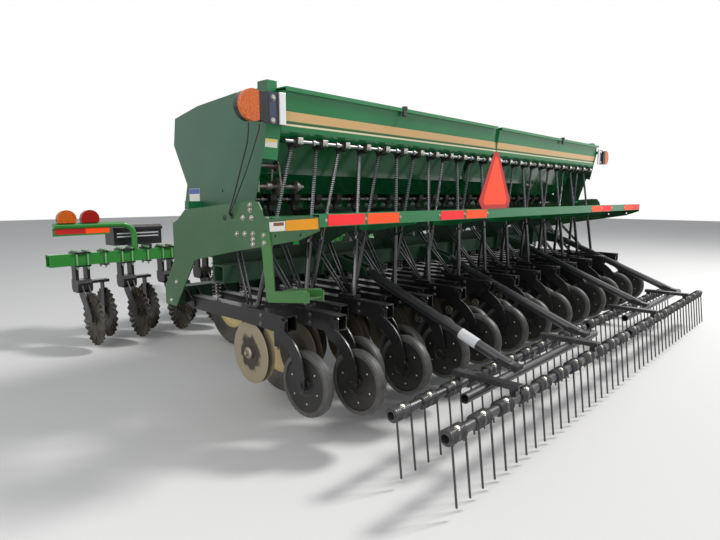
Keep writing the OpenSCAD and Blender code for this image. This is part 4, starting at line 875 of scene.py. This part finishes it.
def road_wheel(name, body, x, y, radius, width, rim):
    half = width / 2
    crown = [(rim, -half * 0.80), (rim + 0.012, -half * 0.95), (rim + 0.030, -half),
             (radius - 0.045, -half), (radius - 0.020, -half * 0.94), (radius - 0.004, -half * 0.80)]
    for rib in (-0.72, -0.44, -0.16, 0.12, 0.40, 0.68):
        crown += [(radius - 0.001, half * rib), (radius, half * (rib + 0.02)),
                  (radius, half * (rib + 0.15)), (radius - 0.010, half * (rib + 0.17)),
                  (radius - 0.010, half * (rib + 0.255))]
    crown += [(radius - 0.004, half * 0.96 - 0.002), (radius - 0.020, half * 0.97), (radius - 0.045, half),
              (rim + 0.030, half), (rim + 0.012, half * 0.95), (rim, half * 0.80)]
    tyre = turned(name + "_tyre", crown, 56, at=(x, y, radius), along="X", hollow=True)
    rings = [(rim + 0.008, -half * 0.86), (rim + 0.004, -half * 0.88), (rim - 0.006, -half * 0.66),
             (rim - 0.022, -half * 0.55), (rim * 0.62, -half * 0.20), (0.060, -half * 0.28),
             (0.052, -half * 0.30), (0.052, half * 0.30), (0.060, half * 0.28), (rim * 0.62, half * 0.02),
             (rim - 0.022, half * 0.40), (rim - 0.006, half * 0.66), (rim + 0.004, half * 0.88),
             (rim + 0.008, half * 0.86)]
    wheel = turned(name + "_rim", rings, 40, at=(x, y, radius), along="X", hollow=True)
    side = -1 if x < 0 else 1
    nut_circle = 0.080
    nuts = []
    for n in range(5):
        turn = n * math.tau / 5 + 0.3
        nuts.append(facing((x + side * half * 0.27, y + nut_circle * math.cos(turn),
                            radius + nut_circle * math.sin(turn)), (side, 0.0, 0.0)))
    lugs = set_out(bolt_head(name + "_nuts", 0.020, 0.012, 0.014), nuts, name + "_nuts")
    finish(tyre, tyre_black)
    finish(wheel, rim_cream)
    finish(lugs, zinc)
    for piece, slot in ((tyre, "tyre"), (wheel, "tyre"), (lugs, "steel")):
        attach(piece, body)
    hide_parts(body)
    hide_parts(body)


for side, hand in zip(hands, ("left", "right")):
    road_wheel("gauge_" + hand, "gauge_wheel_" + hand, side * 1.7145, -1.360, 0.340, 0.086, 0.205)
    road_wheel("hitch_" + hand, "hitch_wheel_" + hand, side * 1.220, -0.170, 0.360, 0.230, 0.200)
    finish(nodes["gauge_leg_" + hand], arm_black)


# Hitch frame, tongue and coulter bar: heavy tube in green enamel, open at the bar's ends,
# with green U-bolts round the bar, painted paler as painted highlight, and a black jack leg.
green = weathered(
    "Green enamel", srgb(44, 130, 50), srgb(58, 144, 62), dust=0.15, edges=0.35, gloss=0.26, coat=0.25)
for name in ("hitch_frame", "tongue", "coulter_bar"):
    finish(nodes[name], green)
finish(nodes["jack_leg"], arm_black)
# The U-bolts' paler green is painted highlight on the same green paint.
finish(nodes["u_bolts"], weathered(
    "U-bolt enamel, painted highlight", srgb(112, 168, 112), srgb(146, 190, 144), dust=0.1, edges=0.5, coat=0.2,
    bare=(0.7, 0.72, 0.7)))


# Coulter units: black shanks and forks with fluted blades, brown with soil and rust, and
# bright along the crests of the flutes as worn steel and as painted highlight.
finish(nodes["coulter_arms"], arm_black)
# The bright bare colour on the flute edges is partly painted highlight.
blade_skin = weathered(
    "Coulter blade", srgb(22, 20, 19), srgb(84, 76, 65), dust=0.18, edges=1.0, gloss=0.36, metal=0.45,
    patch=16.0, grain=130.0, bump=0.35, bare=(0.66, 0.60, 0.50), dust_colour=(0.34, 0.28, 0.21))
finish(nodes["front_coulters"], blade_skin)
finish(nodes["rear_coulters"], blade_skin)


# Lamps: moulded lenses on black backs, on bent green tubes over the bar and beside each
# panel. The rear lenses are amber, and of each front pair the outer is amber and the inner
# red.
amber, deep_amber = srgb(214, 112, 22), srgb(168, 57, 10)
amber_lens = weathered(
    "Amber lens", deep_amber, amber, dust=0.05, edges=0.0, coat=0.2, patch=40.0, grain=90.0, bump=0.2)
tree = amber_lens.node_tree
shader = tree.nodes["Principled BSDF"].inputs
cells = added(tree, "TexVoronoi", {"Vector": added(tree, "TexCoord").outputs["Object"], "Scale": 110.0})
tint = mixed(tree, cells.outputs["Distance"], amber, deep_amber)
tree.links.new(tint, shader["Base Color"])
tree.links.new(tint, shader["Emission Color"])
shader["Emission Strength"].default_value = 0.06
two_lenses = amber_lens.copy()
two_lenses.name = "Amber and red lenses"
tree = two_lenses.node_tree
across = parts(tree, added(tree, "TexCoord").outputs["Object"])["X"]
inner_lens = worked(tree, "COMPARE", across, 0.0, 2.188)
reddened = painted_over(two_lenses, inner_lens, (0.62, 0.05, 0.35), "MULTIPLY")
tree.links.new(reddened, tree.nodes["Principled BSDF"].inputs["Emission Color"])
finish(nodes["rear_lamps"], amber_lens)
finish(nodes["front_lamps"], two_lenses)
finish(nodes["lamp_housings"], arm_black)
finish(nodes["lamp_posts"], green)


# Rear lamp brackets: a navy plate with two bolts beside a bright bar, on the panel's rear
# flange behind each rear lamp.
navy = weathered("Navy enamel", srgb(38, 48, 80), srgb(54, 64, 94), dust=0.12, gloss=0.25, coat=0.3)
bright_bar = weathered(
    "Bright bar", srgb(230, 233, 232), srgb(200, 204, 204), dust=0.08, edges=0.0, metal=0.35)
bracket_corners = [(2.247, 1.768), (2.206, 1.768), (2.206, 1.622), (2.247, 1.622)]


def mirrored_bar(name, inner, outer, ys, zs, ease):
    """A flat bar on each hand of the machine, set by its distances from the middle."""
    return joined([flat_bar(name, (min(side * inner, side * outer), ys[0], zs[0]),
                            (max(side * inner, side * outer), ys[1], zs[1]), ease) for side in hands], name)


bracket_plates = joined([
    sheet("bracket_plates", [(side * x, -1.9406, z) for x, z in bracket_corners], 0.0009, navy)
    for side in hands], "bracket_plates")
bracket_bars = mirrored_bar("bracket_bars", 2.1490, 2.1866, (-1.9488, -1.9352), (1.6212, 1.7748), 0.002)
bracket_bolts = set_out(bolt_head("bracket_bolts", 0.020, 0.009, 0.014),
                        [facing((side * x, -1.9411, z), (0.0, -1.0, 0.0)) for side in hands
                         for x, z in ((2.222, 1.745), (2.226, 1.637))], "bracket_bolts")
for piece, skin, slot in ((bracket_plates, navy, "black"), (bracket_bars, bright_bar, "steel"),
                          (bracket_bolts, zinc, "steel")):
    finish(piece, skin)
    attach(piece, "drill")


# Front strips: a plate under each bent lamp tube, with a red reflector outside and an
# orange one inside.
# The front strips get a painted glow.
front_red = reflector("Front red reflector", srgb(186, 14, 20), 0.10)
for name, skin, inner, outer in (("front_red_strips", front_red, 2.132, 2.372),
                                 ("front_orange_strips", orange_strip, 1.934, 2.132)):
    pair = mirrored_bar(name, inner, outer, (0.7436, 0.746), (0.962, 1.008), 0.0008)
    finish(pair, skin)
    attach(pair, "drill")


# Tool box: black moulded plastic, with two pressed ribs along its rear wall, coloured pale as painted
# highlights.
box_plastic = weathered("Tool box plastic", srgb(22, 22, 25), srgb(44, 46, 52), dust=0.25, coat=0.2)
# The ribs' pale colour is a painted highlight.
rib_highlight = weathered("Rib painted highlight", srgb(206, 208, 214), srgb(170, 172, 178), dust=0.1, edges=0.0)
finish(nodes["tool_box"], box_plastic)
ribs = joined([flat_bar("tool_box_ribs", (-1.858, 0.7745, z), (-1.470, 0.7800, z + 0.011), 0.002)
               for z in (0.909, 0.938)], "tool_box_ribs")
finish(ribs, rib_highlight)
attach(ribs, "drill")


# Harrow: dark blue-grey painted pipes and channels, and double coil tines of black spring
# wire wound round the bars and bolted at the middle.
harrow_black = weathered(
    "Harrow black", srgb(24, 26, 32), srgb(42, 45, 52), dust=0.15, edges=0.9, gloss=0.22, coat=0.25,
    bare=(0.30, 0.28, 0.26))
for name in ("harrow_left", "harrow_right", "harrow_left_tines", "harrow_right_tines"):
    finish(nodes[name], harrow_black)
tine_gap, section_gap, bolt_z = 0.203, 2.286, 0.3490
bars = ((-2.11075, -2.6665), (-2.14075, -2.9695))
for hand, start in (("left", 0.0), ("right", section_gap)):
    clamps = [facing((start + first + k * tine_gap, y, bolt_z), (0.0, -0.5, 0.87)) for first, y in bars
              for k in range(11)]
    heads = set_out(bolt_head("tine_bolts", 0.019, 0.009, 0.013), clamps, "harrow_" + hand + "_bolts")
    finish(heads, zinc)
    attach(heads, "harrow_" + hand)


# Harrow band: white reflective tape round the outermost arm of the left section.
arm_foot, arm_top = Vector((-1.3335, -2.772, 0.382)), Vector((-1.3335, -1.768, 0.788))
low, high = arm_foot.lerp(arm_top, 0.19), arm_foot.lerp(arm_top, 0.30)
tape_out, tape_in, tape_length = 0.0312, 0.0303, (high - low).length
tape_rings = [(tape_out, 0.0), (tape_out, tape_length), (tape_in, tape_length), (tape_in, 0.0)]
tape = turned("harrow_tape", tape_rings, 24, hollow=True)
tape.data.transform(facing(low, high - low))
finish(tape, weathered("White tape", srgb(226, 228, 230), srgb(196, 200, 204), dust=0.12, edges=0.0))
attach(tape, "harrow_left")
